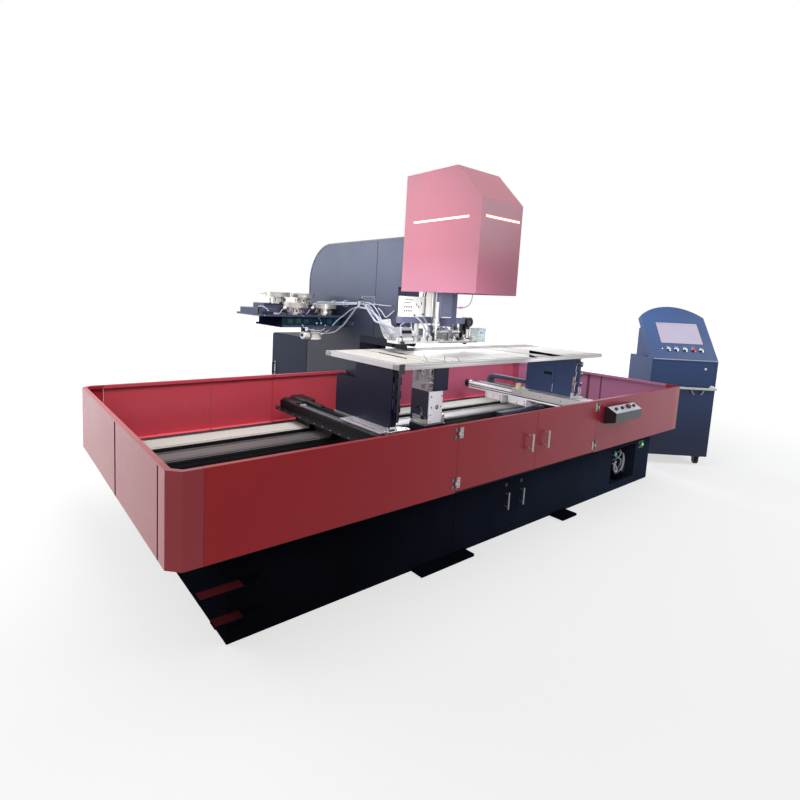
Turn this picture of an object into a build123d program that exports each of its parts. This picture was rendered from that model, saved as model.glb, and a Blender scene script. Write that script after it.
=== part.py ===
from build123d import *
import math
import os

os.makedirs("parts", exist_ok=True)

# Millimetres, +Z up. Every x, y below is counted from the front left corner of the
# tray, at floor level; box() and its friends move it to the centre of the base.

# Tray of folded red sheet around the table
TRAY_LENGTH = 4600.0
TRAY_WIDTH = 1900.0
TRAY_BOTTOM = 460.0
TRAY_TOP = 854.0
TRAY_SHEET = 3.0
TRAY_LIP = 25.0
TRAY_LIP_DROP = 22.0
TRAY_FLANGE = 42.0
TRAY_CHAMFER = 50.0
CORNER_FLAT = 82.0
SEAM = 1.2

# Black base under it
BASE_INSET = 280.0
BASE_LEFT = BASE_INSET
BASE_RIGHT = TRAY_LENGTH - BASE_INSET
BASE_FRONT = 115.0
BASE_SHEET = 4.0
DECK_TOP = TRAY_BOTTOM
DECK_SHEET = 6.0
LEDGE_DEPTH = 55.0
LEDGE_THICK = 14.0

# Doors
TRAY_DOOR_LEFT = 1560.0
TRAY_DOOR_RIGHT = 3072.0
BASE_DOOR_LEFT = 1700.0
BASE_DOOR_RIGHT = 2850.0
BASE_DOOR_BOTTOM = 46.0
BASE_DOOR_TOP = 434.0
DOOR_GAP = 3.0
HINGE_GAP = 0.5
DOOR_PAN = 20.0

# Press frame
FRAME_LEFT = 2130.0
FRAME_THICK = 230.0
FRAME_REAR = 2579.0
FRAME_TOP = 2010.0
FRAME_ARC = 360.0
JAW_FRONT = 1225.0
JAW_BOTTOM = 1185.0
THROAT_BACK = 1700.0
NOSE_FRONT = 740.0
NOSE_BOTTOM = 1620.0
ARM_TOP = 440.0
PEDESTAL_FRONT = 840.0
PEDESTAL_REAR = 1008.0
PEDESTAL_TOP = 576.0
AXIS_X = 2245.0
AXIS_Y = 900.0

# Head cover
HEAD_LEFT_GAP = 98.0
HEAD_RIGHT_GAP = 104.0
HEAD_LEFT = FRAME_LEFT - HEAD_LEFT_GAP
HEAD_RIGHT = FRAME_LEFT + FRAME_THICK + HEAD_RIGHT_GAP
HEAD_FRONT = 355.0
HEAD_REAR = 1080.0
HEAD_BOTTOM = 1584.0
HEAD_TOP = 2432.0
HEAD_CUT_Y = 226.0
HEAD_CUT_Z = 236.0
HEAD_SHEET = 3.0
LED_DROP = 346.0
LED_HEIGHT = HEAD_TOP - LED_DROP

# Ram and tools
RAM_ROD = 35.0
CYLINDER_HEIGHT = 320.0
RAM_BLOCK_BOTTOM = 1400.0
RAM_STROKE = 95.0
PUNCH_TIP = 1228.0

# Die tower
COLUMN_LEFT = 2162.0
COLUMN_RIGHT = 2300.0
COLUMN_REAR = 1036.0
COLUMN_TOP = 838.0
DIE_TOP = 1084.0
DIE_ROD = 18.0

# Linear modules
RAIL_LEFT = 285.0
RAIL_RIGHT = TRAY_LENGTH - 170
RAIL_WIDTH = 200.0
RAIL_TOP = 550.0
RAIL_FRONT_Y = 1018.0
RAIL_REAR_Y = 1304.0
CROSS_FRONT = 150.0
CROSS_REAR = 1735.0
CROSS_BOTTOM = 612.0
CROSS_TOP = 670.0
CROSS_WIDTH = 190.0
CROSS_LEFT_X = 1390.0
CROSS_RIGHT_X = 3660.0
CARRIAGE_TOP = 705.0
RUNNING_GAP = 0.4
CHAIN_REAR = 1637.0
LINK_PITCH = 44
LINK_GAP = 3.0
CHAIN_START = 3220.0
CHAIN_TURN = 3890.0
CHAIN_SIDE = 942.0
CHAIN_LOOP = 86.0
CHAIN_RUN = 24.0

# Table
TABLE_LEFT = 1492.0
TABLE_RIGHT = 3930.0
TABLE_FRONT = 446.0
TABLE_REAR = 1262.0
TABLE_TOP = 1124.0
TABLE_THICK = 33.0
TABLE_PROFILE = 62.0

# Button box on the front wall
BOX_LEFT = 3178.0
BOX_WIDTH = 408.0
BOX_STAND = 20.0
BOX_DEPTH = 72.0
BOX_REAR_TOP = 796.0
BOX_BOTTOM = 668.0
BOX_SLOPE = 27.0
BUTTON_STEM = 11.0
BUTTON_PLAY = 0.4

# Console standing at the right end
CONSOLE_GAP = 152.0
CONSOLE_X = TRAY_LENGTH + CONSOLE_GAP
CONSOLE_Y = 346.0
CONSOLE_TURN = -40.0
CONSOLE_WIDTH = 640.0
CONSOLE_DEPTH = 450.0
CONSOLE_BOTTOM = 95.0
CONSOLE_FOLD = 1064.0
CONSOLE_TILT = 38.0
CONSOLE_PANEL = 527.0
CONSOLE_ARCH = 130.0
SHELF_HEIGHT = 788.0
WHEEL_RADIUS = 37.5


def box(x0, x1, y0, y1, z0, z1):
    middle = ((x0 + x1 - TRAY_LENGTH) / 2, (y0 + y1 - TRAY_WIDTH) / 2, (z0 + z1) / 2)
    return Pos(*middle) * Box(x1 - x0, y1 - y0, z1 - z0)


def spot(x, y, z):
    return Pos(x - TRAY_LENGTH / 2, y - TRAY_WIDTH / 2, z)


def post(x, y, z0, z1, radius):
    return spot(x, y, (z0 + z1) / 2) * Cylinder(radius, z1 - z0)


def bar_x(x0, x1, y, z, radius):
    return spot((x0 + x1) / 2, y, z) * Rot(0, 90, 0) * Cylinder(radius, x1 - x0)


def bar_y(x, y0, y1, z, radius):
    return spot(x, (y0 + y1) / 2, z) * Rot(90, 0, 0) * Cylinder(radius, y1 - y0)


def slab(points, z0, z1):
    outline = Polyline(*[(x, y) for x, y in points], close=True)
    return spot(0, 0, z0) * extrude(make_face(outline), amount=z1 - z0, dir=(0, 0, 1))


def side_plate(points, x0, x1, rounds=()):
    """Outline given in (y, z), drawn along x; rounds are (y, z, radius) of corners."""
    with BuildSketch(Plane.YZ) as sketch:
        Polygon(*points, align=None)
        for y, z, radius in rounds:
            corner = sketch.vertices().sort_by_distance((y, z, 0))[0]
            fillet(corner, radius)
    return spot(x0, 0, 0) * extrude(sketch.sketch, amount=x1 - x0)


def tube(points, radius, bend):
    """Round hose or rail through the points, bent with one radius at each corner."""
    path = FilletPolyline(*points, radius=bend)
    start = Plane(path @ 0, z_dir=path % 0)
    return spot(0, 0, 0) * sweep(start * Circle(radius), path=path)


def group(*solids):
    return Compound(children=list(solids))


def save(name, shape):
    export_step(shape, "parts/" + name + ".step")


def tray_outline(inset):
    cut = TRAY_CHAMFER - inset * (2 - math.sqrt(2))
    a, b = inset, TRAY_LENGTH - inset
    c, d = inset, TRAY_WIDTH - inset
    return [(a + cut, c), (b - cut, c), (b, c + cut), (b, d - cut),
            (b - cut, d), (a + cut, d), (a, d - cut), (a, c + cut)]


def tray_ring(outer, inner, z0, z1):
    hole = slab(tray_outline(inner), z0 - 1, z1 + 1)
    return slab(tray_outline(outer), z0, z1) - hole


# The whole folded wall: sheet, top lip turned in and down, bottom flange turned in
wall = tray_ring(0, TRAY_SHEET, TRAY_BOTTOM, TRAY_TOP)
wall += tray_ring(TRAY_SHEET, TRAY_LIP, TRAY_TOP - TRAY_SHEET, TRAY_TOP)
wall += tray_ring(TRAY_LIP - TRAY_SHEET, TRAY_LIP, TRAY_TOP - TRAY_LIP_DROP, TRAY_TOP)
wall += tray_ring(TRAY_SHEET, TRAY_FLANGE, TRAY_BOTTOM, TRAY_BOTTOM + TRAY_SHEET)

corner = TRAY_CHAMFER + CORNER_FLAT
far_x = TRAY_LENGTH - corner
far_y = TRAY_WIDTH - corner
half = SEAM / 2
low, high = TRAY_BOTTOM - 5, TRAY_TOP + 5


def wall_piece(x0, x1, y0, y1):
    return wall & box(x0, x1, y0, y1, low, high)


corners = []
for x0, x1 in ((-5, corner - half), (far_x + half, TRAY_LENGTH + 5)):
    for y0, y1 in ((-5, corner - half), (far_y + half, TRAY_WIDTH + 5)):
        corners.append(wall_piece(x0, x1, y0, y1))
save("tray_corner_posts", group(*corners))

middle_y = 890.0
ends = []
for x0, x1 in ((-5, 60), (TRAY_LENGTH - 60, TRAY_LENGTH + 5)):
    ends.append(wall_piece(x0, x1, corner + half, middle_y - half))
    ends.append(wall_piece(x0, x1, middle_y + half, far_y - half))
save("tray_end_walls", group(*ends))

frame_right = FRAME_LEFT + FRAME_THICK
back_joints = [corner, 869.0, 1395.0, FRAME_LEFT - 12, frame_right + 12, 3205.0, 3805.0, far_x]
back = []
for index in range(len(back_joints) - 1):
    if index != 3:
        x0 = back_joints[index] + half
        x1 = back_joints[index + 1] - half
        back.append(wall_piece(x0, x1, TRAY_WIDTH - 60, TRAY_WIDTH + 5))
save("tray_back_wall", group(*back))

front_left = wall_piece(corner + half, TRAY_DOOR_LEFT - DOOR_GAP, -5, 60)
front_right = wall_piece(TRAY_DOOR_RIGHT + DOOR_GAP, far_x - half, -5, 60)
save("tray_front_wall", group(front_left, front_right))


def pull_handle(x, face_y, z0, z1, reach, thick):
    """Flat-ended bar handle standing off a front face that lies at face_y."""
    out = face_y - reach
    grip = post(x, out, z0, z1, thick)
    low_foot = bar_y(x, out, face_y, z0 + 14, thick * 0.7)
    high_foot = bar_y(x, out, face_y, z1 - 14, thick * 0.7)
    return grip + low_foot + high_foot


# Tray doors: shallow pans with the same lip, hinged at their outer edges
door_middle = (TRAY_DOOR_LEFT + TRAY_DOOR_RIGHT) / 2
hinge_heights = (805.0, 517.0)
hinge_out = 7.0
KNUCKLE = 9.6
KNUCKLE_CLEAR = 0.5
door_spans = (
    ("tray_door_left", TRAY_DOOR_LEFT, door_middle - DOOR_GAP / 2, 2228.0, 1),
    ("tray_door_right", door_middle + DOOR_GAP / 2, TRAY_DOOR_RIGHT, 2404.0, -1),
)
for name, x0, x1, handle_x, side in door_spans:
    z0, z1 = TRAY_BOTTOM + 6, TRAY_TOP
    pan = box(x0, x1, 0, DOOR_PAN, z0, z1)
    pan -= box(x0 + 3, x1 - 3, 3, DOOR_PAN + 1, z0 + 3, z1 - 3)
    pan += box(x0 + 3, x1 - 3, DOOR_PAN - 3, DOOR_PAN, z1 - TRAY_LIP_DROP, z1 - 3)
    pan += pull_handle(handle_x, 0, 606, 719, 34, 7.5)
    edge = x0 if side > 0 else x1
    pin = edge - side * DOOR_GAP
    for z in hinge_heights:
        near, away = pin + side * 8, edge + side * 34
        pan += box(min(near, away), max(near, away), -3, 0, z - 30, z + 30)
        near, away = pin - side * 2, pin + side * 10
        pan += box(min(near, away), max(near, away), -3, -KNUCKLE_CLEAR,
                   z - KNUCKLE, z + KNUCKLE)
        pan += box(pin - 2, pin + 2, -hinge_out, -3, z - KNUCKLE, z + KNUCKLE)
        pan += post(pin, -hinge_out, z - KNUCKLE, z + KNUCKLE, 5)
    save(name, pan)

hinges = []
for pin, side in ((TRAY_DOOR_LEFT - DOOR_GAP, -1), (TRAY_DOOR_RIGHT + DOOR_GAP, 1)):
    for z in hinge_heights:
        for z0, z1 in ((z - 30, z - KNUCKLE - 0.4), (z + KNUCKLE + 0.4, z + 30)):
            near, away = pin, pin + side * 31
            leaf = box(min(near, away), max(near, away), -3, 0, z0, z1)
            leaf += post(pin, -hinge_out, z0, z1, 5)
            leaf += box(pin - 2, pin + 2, -hinge_out, 0, z0, z1)
            hinges.append(leaf)
save("tray_door_hinges", group(*hinges))

# Base: folded black shell with the deck on top, door opening, open bay at the right
base_rear = TRAY_WIDTH - BASE_FRONT
shell = box(BASE_LEFT, BASE_RIGHT, BASE_FRONT, base_rear, 0, DECK_TOP - DECK_SHEET)
inner = BASE_SHEET
shell -= box(BASE_LEFT + inner, BASE_RIGHT - inner, BASE_FRONT + inner, base_rear - inner,
             inner, DECK_TOP)
deck = box(6, TRAY_LENGTH - 6, 6, TRAY_WIDTH - 6, DECK_TOP - DECK_SHEET, DECK_TOP)
deck -= box(FRAME_LEFT - 14, frame_right + 14, PEDESTAL_FRONT - 14, TRAY_WIDTH, 400, 500)
for x0 in (0, TRAY_LENGTH - 60):
    for y0 in (0, TRAY_WIDTH - 60):
        deck -= box(x0, x0 + 60, y0, y0 + 60, 400, 500)
shell += deck
shell -= box(FRAME_LEFT - 14, frame_right + 14, PEDESTAL_FRONT - 14, base_rear + 5,
             inner, DECK_TOP + 1)
shell -= box(BASE_DOOR_LEFT, BASE_DOOR_RIGHT, BASE_FRONT - 1, BASE_FRONT + 30,
             BASE_DOOR_BOTTOM - DOOR_GAP, BASE_DOOR_TOP + DOOR_GAP)
bay_left, bay_right, bay_low, bay_high = 3633.0, 4026.0, 78.0, 352.0
shell -= box(bay_left, bay_right, BASE_FRONT - 1, BASE_FRONT + 30, bay_low, bay_high)
shell += box(bay_left - 4, bay_right + 4, BASE_FRONT + 160, BASE_FRONT + 164, inner, 453)
for x in (bay_left - 4, bay_right):
    shell += box(x, x + 4, BASE_FRONT + 4, BASE_FRONT + 164, inner, 453)
for x, z in ((206.0, 145.0), (143.0, 286.0)):
    shell += box(x, BASE_LEFT + 140, BASE_FRONT - LEDGE_DEPTH, BASE_FRONT,
                 z - LEDGE_THICK, z)
for x in (BASE_LEFT + 60, 1200, 3000, BASE_RIGHT - 60):
    shell += box(x - 3, x + 3, BASE_FRONT + 4, base_rear - 4, inner, 453) - box(
        x - 4, x + 4, BASE_FRONT + 60, base_rear - 60, 60, 400)
save("base_cabinet", shell)

feet = [
    box(1369, 1808, 28, BASE_FRONT - 0.6, 0, 16),
    box(2750, 2935, 7, BASE_FRONT - 0.6, 0, 16),
    box(1369, 1808, base_rear + 0.6, base_rear + 88, 0, 16),
    box(2750, 2935, base_rear + 0.6, base_rear + 88, 0, 16),
]
save("base_foot_plates", group(*feet))

base_middle = (BASE_DOOR_LEFT + BASE_DOOR_RIGHT) / 2
for name, x0, x1, handle_x in (
    ("base_door_left", BASE_DOOR_LEFT + HINGE_GAP, base_middle - DOOR_GAP / 2, 2190.0),
    ("base_door_right", base_middle + DOOR_GAP / 2, BASE_DOOR_RIGHT - HINGE_GAP, 2354.0),
):
    door = box(x0, x1, BASE_FRONT - 2, BASE_FRONT + 16, BASE_DOOR_BOTTOM, BASE_DOOR_TOP)
    door -= box(x0 + 3, x1 - 3, BASE_FRONT + 1, BASE_FRONT + 17,
                BASE_DOOR_BOTTOM + 3, BASE_DOOR_TOP - 3)
    door += pull_handle(handle_x, BASE_FRONT - 2, 188, 303, 30, 6)
    save(name, door)

# Press frame: one thick plate body, hollow behind the jaw, open at the foot
frame_points = [
    (FRAME_REAR, 0), (FRAME_REAR, FRAME_TOP), (NOSE_FRONT, FRAME_TOP),
    (NOSE_FRONT, NOSE_BOTTOM), (JAW_FRONT, NOSE_BOTTOM), (JAW_FRONT, JAW_BOTTOM),
    (THROAT_BACK, JAW_BOTTOM), (THROAT_BACK, ARM_TOP), (PEDESTAL_REAR, ARM_TOP),
    (PEDESTAL_REAR, PEDESTAL_TOP), (PEDESTAL_FRONT, PEDESTAL_TOP), (PEDESTAL_FRONT, BASE_SHEET),
    (2050, BASE_SHEET), (2050, 0),
]
frame_rounds = [
    (FRAME_REAR, FRAME_TOP, FRAME_ARC), (THROAT_BACK, JAW_BOTTOM, 60),
    (THROAT_BACK, ARM_TOP, 60), (JAW_FRONT, JAW_BOTTOM, 40), (PEDESTAL_FRONT, BASE_SHEET, 30),
]
press = side_plate(frame_points, FRAME_LEFT, frame_right, frame_rounds)
skin = 30.0
hollow_points = [
    (FRAME_REAR - skin, -5), (FRAME_REAR - skin, FRAME_TOP - skin),
    (JAW_FRONT + skin, FRAME_TOP - skin), (JAW_FRONT + skin, JAW_BOTTOM + skin),
    (THROAT_BACK + skin, JAW_BOTTOM + skin), (THROAT_BACK + skin, ARM_TOP - skin),
    (PEDESTAL_FRONT + skin, ARM_TOP - skin), (PEDESTAL_FRONT + skin, BASE_SHEET + skin),
    (2080, BASE_SHEET + skin), (2080, -5),
]
press -= side_plate(hollow_points, FRAME_LEFT + 25, frame_right - 25,
                    [(FRAME_REAR - skin, FRAME_TOP - skin, FRAME_ARC - skin)])
press -= post(AXIS_X, AXIS_Y, NOSE_BOTTOM - 5, FRAME_TOP + 5, RAM_ROD + 1)
edge_left = box(FRAME_LEFT - 1, FRAME_LEFT + 7, 1510, 1516, JAW_BOTTOM - 1, FRAME_TOP + 1)
press -= edge_left
save("c_frame", press)

# Rear cabinet with one door on its left side
cab_front, cab_rear, cab_top = FRAME_REAR + 6, 3338.0, 1076.0
cab_left, cab_right = FRAME_LEFT + DOOR_PAN + HINGE_GAP, 2630.0
cabinet = box(cab_left, cab_right, cab_front, cab_rear, 60, cab_top)
cabinet -= box(cab_left - 1, cab_right - 4, cab_front + 4, cab_rear - 4, 64, cab_top - 4)
cabinet += box(cab_left + 30, cab_right - 30, cab_front + 40, cab_rear - 40, 0, 60)
cabinet += box(cab_left + 20, frame_right - 20, FRAME_REAR, cab_front, 900, 940)
cabinet += box(cab_left + 20, frame_right - 20, FRAME_REAR, cab_front, 160, 200)
save("rear_cabinet", cabinet)
rear_door = box(FRAME_LEFT, FRAME_LEFT + DOOR_PAN, cab_front + 3, cab_rear - 3,
                66, cab_top - 3)
rear_door -= box(FRAME_LEFT + 3, FRAME_LEFT + DOOR_PAN + 1, cab_front + 6, cab_rear - 6,
                 69, cab_top - 6)
grip_y = cab_rear - 74
grip = post(FRAME_LEFT - 30, grip_y, 622, 752, 8)
for z in (636, 738):
    grip += bar_x(FRAME_LEFT - 30, FRAME_LEFT, grip_y, z, 6)
save("rear_cabinet_door", rear_door + grip)

# Head cover, open below, with slots for the light strips
cover_points = [
    (HEAD_FRONT, HEAD_BOTTOM), (HEAD_FRONT, HEAD_TOP - HEAD_CUT_Z),
    (HEAD_FRONT + HEAD_CUT_Y, HEAD_TOP), (HEAD_REAR, HEAD_TOP), (HEAD_REAR, HEAD_BOTTOM),
]
t = HEAD_SHEET
inside_points = [
    (HEAD_FRONT + t, HEAD_BOTTOM - 5), (HEAD_FRONT + t, HEAD_TOP - HEAD_CUT_Z - 1.3),
    (HEAD_FRONT + HEAD_CUT_Y + 1.3, HEAD_TOP - t), (HEAD_REAR - t, HEAD_TOP - t),
    (HEAD_REAR - t, HEAD_BOTTOM - 5),
]
cover = side_plate(cover_points, HEAD_LEFT, HEAD_RIGHT)
cover -= side_plate(inside_points, HEAD_LEFT + t, HEAD_RIGHT - t)
cover -= box(FRAME_LEFT - 3, frame_right + 3, HEAD_REAR - 10, HEAD_REAR + 5,
             HEAD_BOTTOM - 5, FRAME_TOP + 4)
led_y0, led_y1 = HEAD_FRONT + 101, HEAD_REAR - 97
led_x0, led_x1 = HEAD_LEFT + 50, HEAD_RIGHT - 24
led_z0, led_z1 = LED_HEIGHT - 7, LED_HEIGHT + 7
cover -= box(HEAD_LEFT - 1, HEAD_LEFT + 5, led_y0, led_y1, led_z0, led_z1)
cover -= box(HEAD_RIGHT - 5, HEAD_RIGHT + 1, led_y0, led_y1, led_z0, led_z1)
cover -= box(led_x0, led_x1, HEAD_FRONT - 1, HEAD_FRONT + 5, led_z0, led_z1)
cover += box(HEAD_LEFT + t, FRAME_LEFT, 1000, 1060, 1800, 1860)
cover += box(frame_right, HEAD_RIGHT - t, 1000, 1060, 1800, 1860)
save("head_cover", cover)

left_led = box(HEAD_LEFT + 0.8, HEAD_LEFT + t, led_y0 + 1, led_y1 - 1, led_z0 + 1, led_z1 - 1)
left_led += box(HEAD_LEFT + t, HEAD_LEFT + 14, led_y0 - 8, led_y1 + 8, led_z0 - 6, led_z1 + 6)
right_led = box(HEAD_RIGHT - t, HEAD_RIGHT - 0.8, led_y0 + 1, led_y1 - 1,
                led_z0 + 1, led_z1 - 1)
right_led += box(HEAD_RIGHT - 14, HEAD_RIGHT - t, led_y0 - 8, led_y1 + 8,
                 led_z0 - 6, led_z1 + 6)
front_led = box(led_x0 + 1, led_x1 - 1, HEAD_FRONT + 0.8, HEAD_FRONT + t,
                led_z0 + 1, led_z1 - 1)
front_led += box(led_x0 - 8, led_x1 + 2, HEAD_FRONT + t, HEAD_FRONT + 14,
                 led_z0 - 6, led_z1 + 6)
save("head_led_strips", group(left_led, right_led, front_led))

# Ram: cylinder on the arm, rod through the nose, block and punch below
cylinder_top = FRAME_TOP + CYLINDER_HEIGHT
piston_z, piston_h = cylinder_top - 80, 40.0
cylinder = post(AXIS_X, AXIS_Y, FRAME_TOP, cylinder_top, 100)
cylinder -= post(AXIS_X, AXIS_Y, FRAME_TOP + 40, cylinder_top - 25, 70)
cylinder -= post(AXIS_X, AXIS_Y, FRAME_TOP - 1, FRAME_TOP + 60, RAM_ROD + 1)
cylinder += box(AXIS_X - 112, AXIS_X + 112, AXIS_Y - 112, AXIS_Y + 112,
                FRAME_TOP, FRAME_TOP + 30) - post(
    AXIS_X, AXIS_Y, FRAME_TOP - 1, FRAME_TOP + 60, 99)
save("ram_cylinder", cylinder)

block_top = NOSE_BOTTOM - 10
ram = post(AXIS_X, AXIS_Y, block_top - 10, piston_z, RAM_ROD)
ram += post(AXIS_X, AXIS_Y, piston_z - piston_h, piston_z, 69)
ram += box(AXIS_X - 58, AXIS_X + 54, AXIS_Y - 105, AXIS_Y + 60, RAM_BLOCK_BOTTOM, block_top)
ram += box(AXIS_X + 54, AXIS_X + 118, AXIS_Y - 95, AXIS_Y + 40,
           RAM_BLOCK_BOTTOM - 66, block_top)
save("ram", ram)
punch = post(AXIS_X, AXIS_Y, RAM_BLOCK_BOTTOM - 62, RAM_BLOCK_BOTTOM, 32)
punch += post(AXIS_X, AXIS_Y, RAM_BLOCK_BOTTOM - 80, RAM_BLOCK_BOTTOM - 62, 20)
punch += post(AXIS_X, AXIS_Y, PUNCH_TIP, RAM_BLOCK_BOTTOM - 80, 9)
save("punch", punch)

# Tool carrier under the head: beam on the jaw, two guide rods, regulator at its end
beam_z0, beam_z1 = 1345.0, 1395.0
BEAM_END = 2690.0
beam = box(1980, BEAM_END, 1002, 1060, beam_z0, beam_z1)
beam += box(2190, 2312, 1060, JAW_FRONT, beam_z0, beam_z1)
beam += box(2190, 2312, JAW_FRONT - 14, JAW_FRONT, beam_z0 - 60, beam_z1 + 60)
for x in (2283.0, 2308.0):
    beam += post(x, 1031, beam_z1, NOSE_BOTTOM, 9)
save("head_beam", beam)
panel = box(1984, 2268, 1006, 1050, beam_z1, 1548)
for row, z in enumerate((1432.0, 1462.0)):
    for column in range(4):
        x = 2006 + 22 * column
        panel -= box(x, x + 12, 1005, 1012, z, z + 16)
save("head_terminal_box", panel)
reg_x = BEAM_END + 48
regulator = bar_y(reg_x, 994, 1066, 1361, 39)
regulator += box(BEAM_END, reg_x - 20, 1010, 1050, 1350, 1374)
regulator += box(reg_x - 28, reg_x + 28, 1010, 1050, 1190, 1330)
save("head_regulator", regulator)

# Fastener feed: plate with holes hung from the beam, track and shuttle to the left
plate_z0, plate_z1 = 1204.0, 1222.0
feed = box(2120, 2690, 850, 1050, plate_z0, plate_z1)
feed -= post(AXIS_X, AXIS_Y, plate_z0 - 1, plate_z1 + 1, 20)
for x in (2330, 2390, 2450, 2510, 2570, 2630):
    feed -= post(x, 880, plate_z0 - 1, plate_z1 + 1, 9)
for x in (2150, 2390, 2560):
    feed += box(x, x + 24, 1010, 1040, plate_z1, beam_z0)
feed += box(1850, 2120, 880, 1000, plate_z0, plate_z1)
feed += box(1850, 2120, 880, 896, plate_z1, plate_z1 + 26)
feed += box(1850, 2120, 984, 1000, plate_z1, plate_z1 + 26)
for x, wide, tall in ((2306, 44, 66), (2366, 52, 48), (2440, 40, 82), (2500, 58, 40)):
    feed += box(x, x + wide, 944, 1000, plate_z1, plate_z1 + tall)
feed += bar_x(2306, 2560, 962, plate_z1 + 60, 13)
save("feed_unit", feed)
shuttle = box(1880, 2100, 899, 981, plate_z1 + 0.8, plate_z1 + 40)
shuttle += box(1900, 2010, 905, 975, plate_z1 + 40, plate_z1 + 96)
shuttle += bar_x(2010, 2150, 940, plate_z1 + 24, 9)
save("feed_shuttle", shuttle)

bin_x0, bin_x1, bin_y0, bin_y1 = 2815.0, 2917.0, 960.0, 1042.0
bin_z0, bin_z1 = 1194.0, 1308.0
catch = box(bin_x0, bin_x1, bin_y0, bin_y1, bin_z0, bin_z1)
catch -= box(bin_x0 + 3, bin_x1 - 3, bin_y0 + 3, bin_y1 - 3, bin_z0 + 3, bin_z1 + 1)
catch += box(reg_x + 28, bin_x0, 1020, 1040, 1206, 1220)
save("catch_box", catch)

# Die tower on the pedestal
column = box(COLUMN_LEFT, COLUMN_RIGHT, 846, COLUMN_REAR, 592, COLUMN_TOP)
column += box(2138, 2340, 842, PEDESTAL_REAR, PEDESTAL_TOP, 592)
face = box(COLUMN_LEFT - 2, COLUMN_RIGHT, 830, 842, 590, COLUMN_TOP)
face += box(COLUMN_LEFT + 30, COLUMN_RIGHT - 30, 842, 846, 596, COLUMN_TOP)
face -= bar_y(2240, 828, 850, 716, 6)
save("die_column", column + face)
changer = box(COLUMN_LEFT + 4, COLUMN_LEFT + 42, 850, COLUMN_REAR, COLUMN_TOP, 1052)
changer += box(COLUMN_LEFT - 6, COLUMN_LEFT + 4, 862, 1022, COLUMN_TOP + 6, 900)
changer += box(COLUMN_LEFT - 14, COLUMN_LEFT + 4, 990, 1020, 900, 1010)
changer += bar_x(COLUMN_LEFT - 22, COLUMN_LEFT + 4, 968, 1010, 30)
changer -= bar_x(COLUMN_LEFT - 24, COLUMN_LEFT - 8, 968, 1010, 18)
changer += box(COLUMN_LEFT - 10, COLUMN_LEFT + 4, 866, 926, 930, 1040)
save("die_changer", changer)
side = box(COLUMN_LEFT + 42.5, 2355, 834, COLUMN_REAR - 20, COLUMN_TOP, 1052)
side -= post(AXIS_X, AXIS_Y, 930, 1053, DIE_ROD + 0.05)
save("die_side_box", side)
lower_die = post(AXIS_X, AXIS_Y, 980, 1066, DIE_ROD)
lower_die += post(AXIS_X, AXIS_Y, 1066, DIE_TOP, 11)
save("lower_die", lower_die)

# X rails: closed modules with a cover strip, end blocks and a motor each
rails = []
for y in (RAIL_FRONT_Y, RAIL_REAR_Y):
    rail = box(RAIL_LEFT, RAIL_RIGHT, y, y + RAIL_WIDTH, DECK_TOP + 11, RAIL_TOP - 6)
    for dy in (14, RAIL_WIDTH - 34):
        rail += box(RAIL_LEFT, RAIL_RIGHT, y + dy, y + dy + 20, RAIL_TOP - 6, RAIL_TOP)
    rail += box(RAIL_LEFT, RAIL_RIGHT, y + 46, y + RAIL_WIDTH - 46, RAIL_TOP - 6, RAIL_TOP - 2)
    for y_side in (y - 1, y + RAIL_WIDTH - 5):
        for z in (492.0, 520.0):
            rail -= box(RAIL_LEFT - 1, RAIL_RIGHT + 1, y_side, y_side + 6, z, z + 8)
    for x in range(6):
        x0 = RAIL_LEFT + 60 + x * (RAIL_RIGHT - RAIL_LEFT - 240) / 5
        rail += box(x0, x0 + 120, y + 20, y + RAIL_WIDTH - 20, DECK_TOP, DECK_TOP + 11)
    rail += box(RAIL_LEFT - 16, RAIL_LEFT, y + 4, y + RAIL_WIDTH - 4, DECK_TOP + 11, RAIL_TOP)
    rail += box(RAIL_RIGHT, RAIL_RIGHT + 14, y + 4, y + RAIL_WIDTH - 4,
                DECK_TOP + 11, RAIL_TOP)
    rail += box(RAIL_RIGHT + 14, RAIL_RIGHT + 110, y + 60, y + RAIL_WIDTH - 60,
                DECK_TOP + 14, RAIL_TOP - 6)
    rails.append(rail)
# Energy chain of the lengthwise travel, on the deck in front of the rails
loop_r = CHAIN_LOOP / 2
loop_z = DECK_TOP + loop_r
track = box(CHAIN_START, CHAIN_TURN, CHAIN_SIDE, CHAIN_SIDE + 56, DECK_TOP, DECK_TOP + CHAIN_LOOP)
track += bar_y(CHAIN_TURN, CHAIN_SIDE, CHAIN_SIDE + 56, loop_z, loop_r)
gap_r = loop_r - CHAIN_RUN
track -= box(CHAIN_START - 1, CHAIN_TURN, CHAIN_SIDE - 1, CHAIN_SIDE + 57,
             loop_z - gap_r, loop_z + gap_r)
track -= bar_y(CHAIN_TURN, CHAIN_SIDE - 1, CHAIN_SIDE + 57, loop_z, gap_r)
for x in range(int(CHAIN_START) + LINK_PITCH, int(CHAIN_TURN), LINK_PITCH):
    track -= box(x, x + LINK_GAP, CHAIN_SIDE - 1, CHAIN_SIDE + 57,
                 DECK_TOP + CHAIN_LOOP - LINK_GAP, DECK_TOP + CHAIN_LOOP + 1)
    track -= box(x, x + LINK_GAP, CHAIN_SIDE - 1, CHAIN_SIDE + LINK_GAP,
                 loop_z + gap_r, DECK_TOP + CHAIN_LOOP + 1)
track += box(CHAIN_START - 24, CHAIN_START + 20, CHAIN_SIDE, CHAIN_SIDE + 56,
             DECK_TOP, DECK_TOP + CHAIN_LOOP)
save("x_rails", group(*rails, track))

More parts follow.
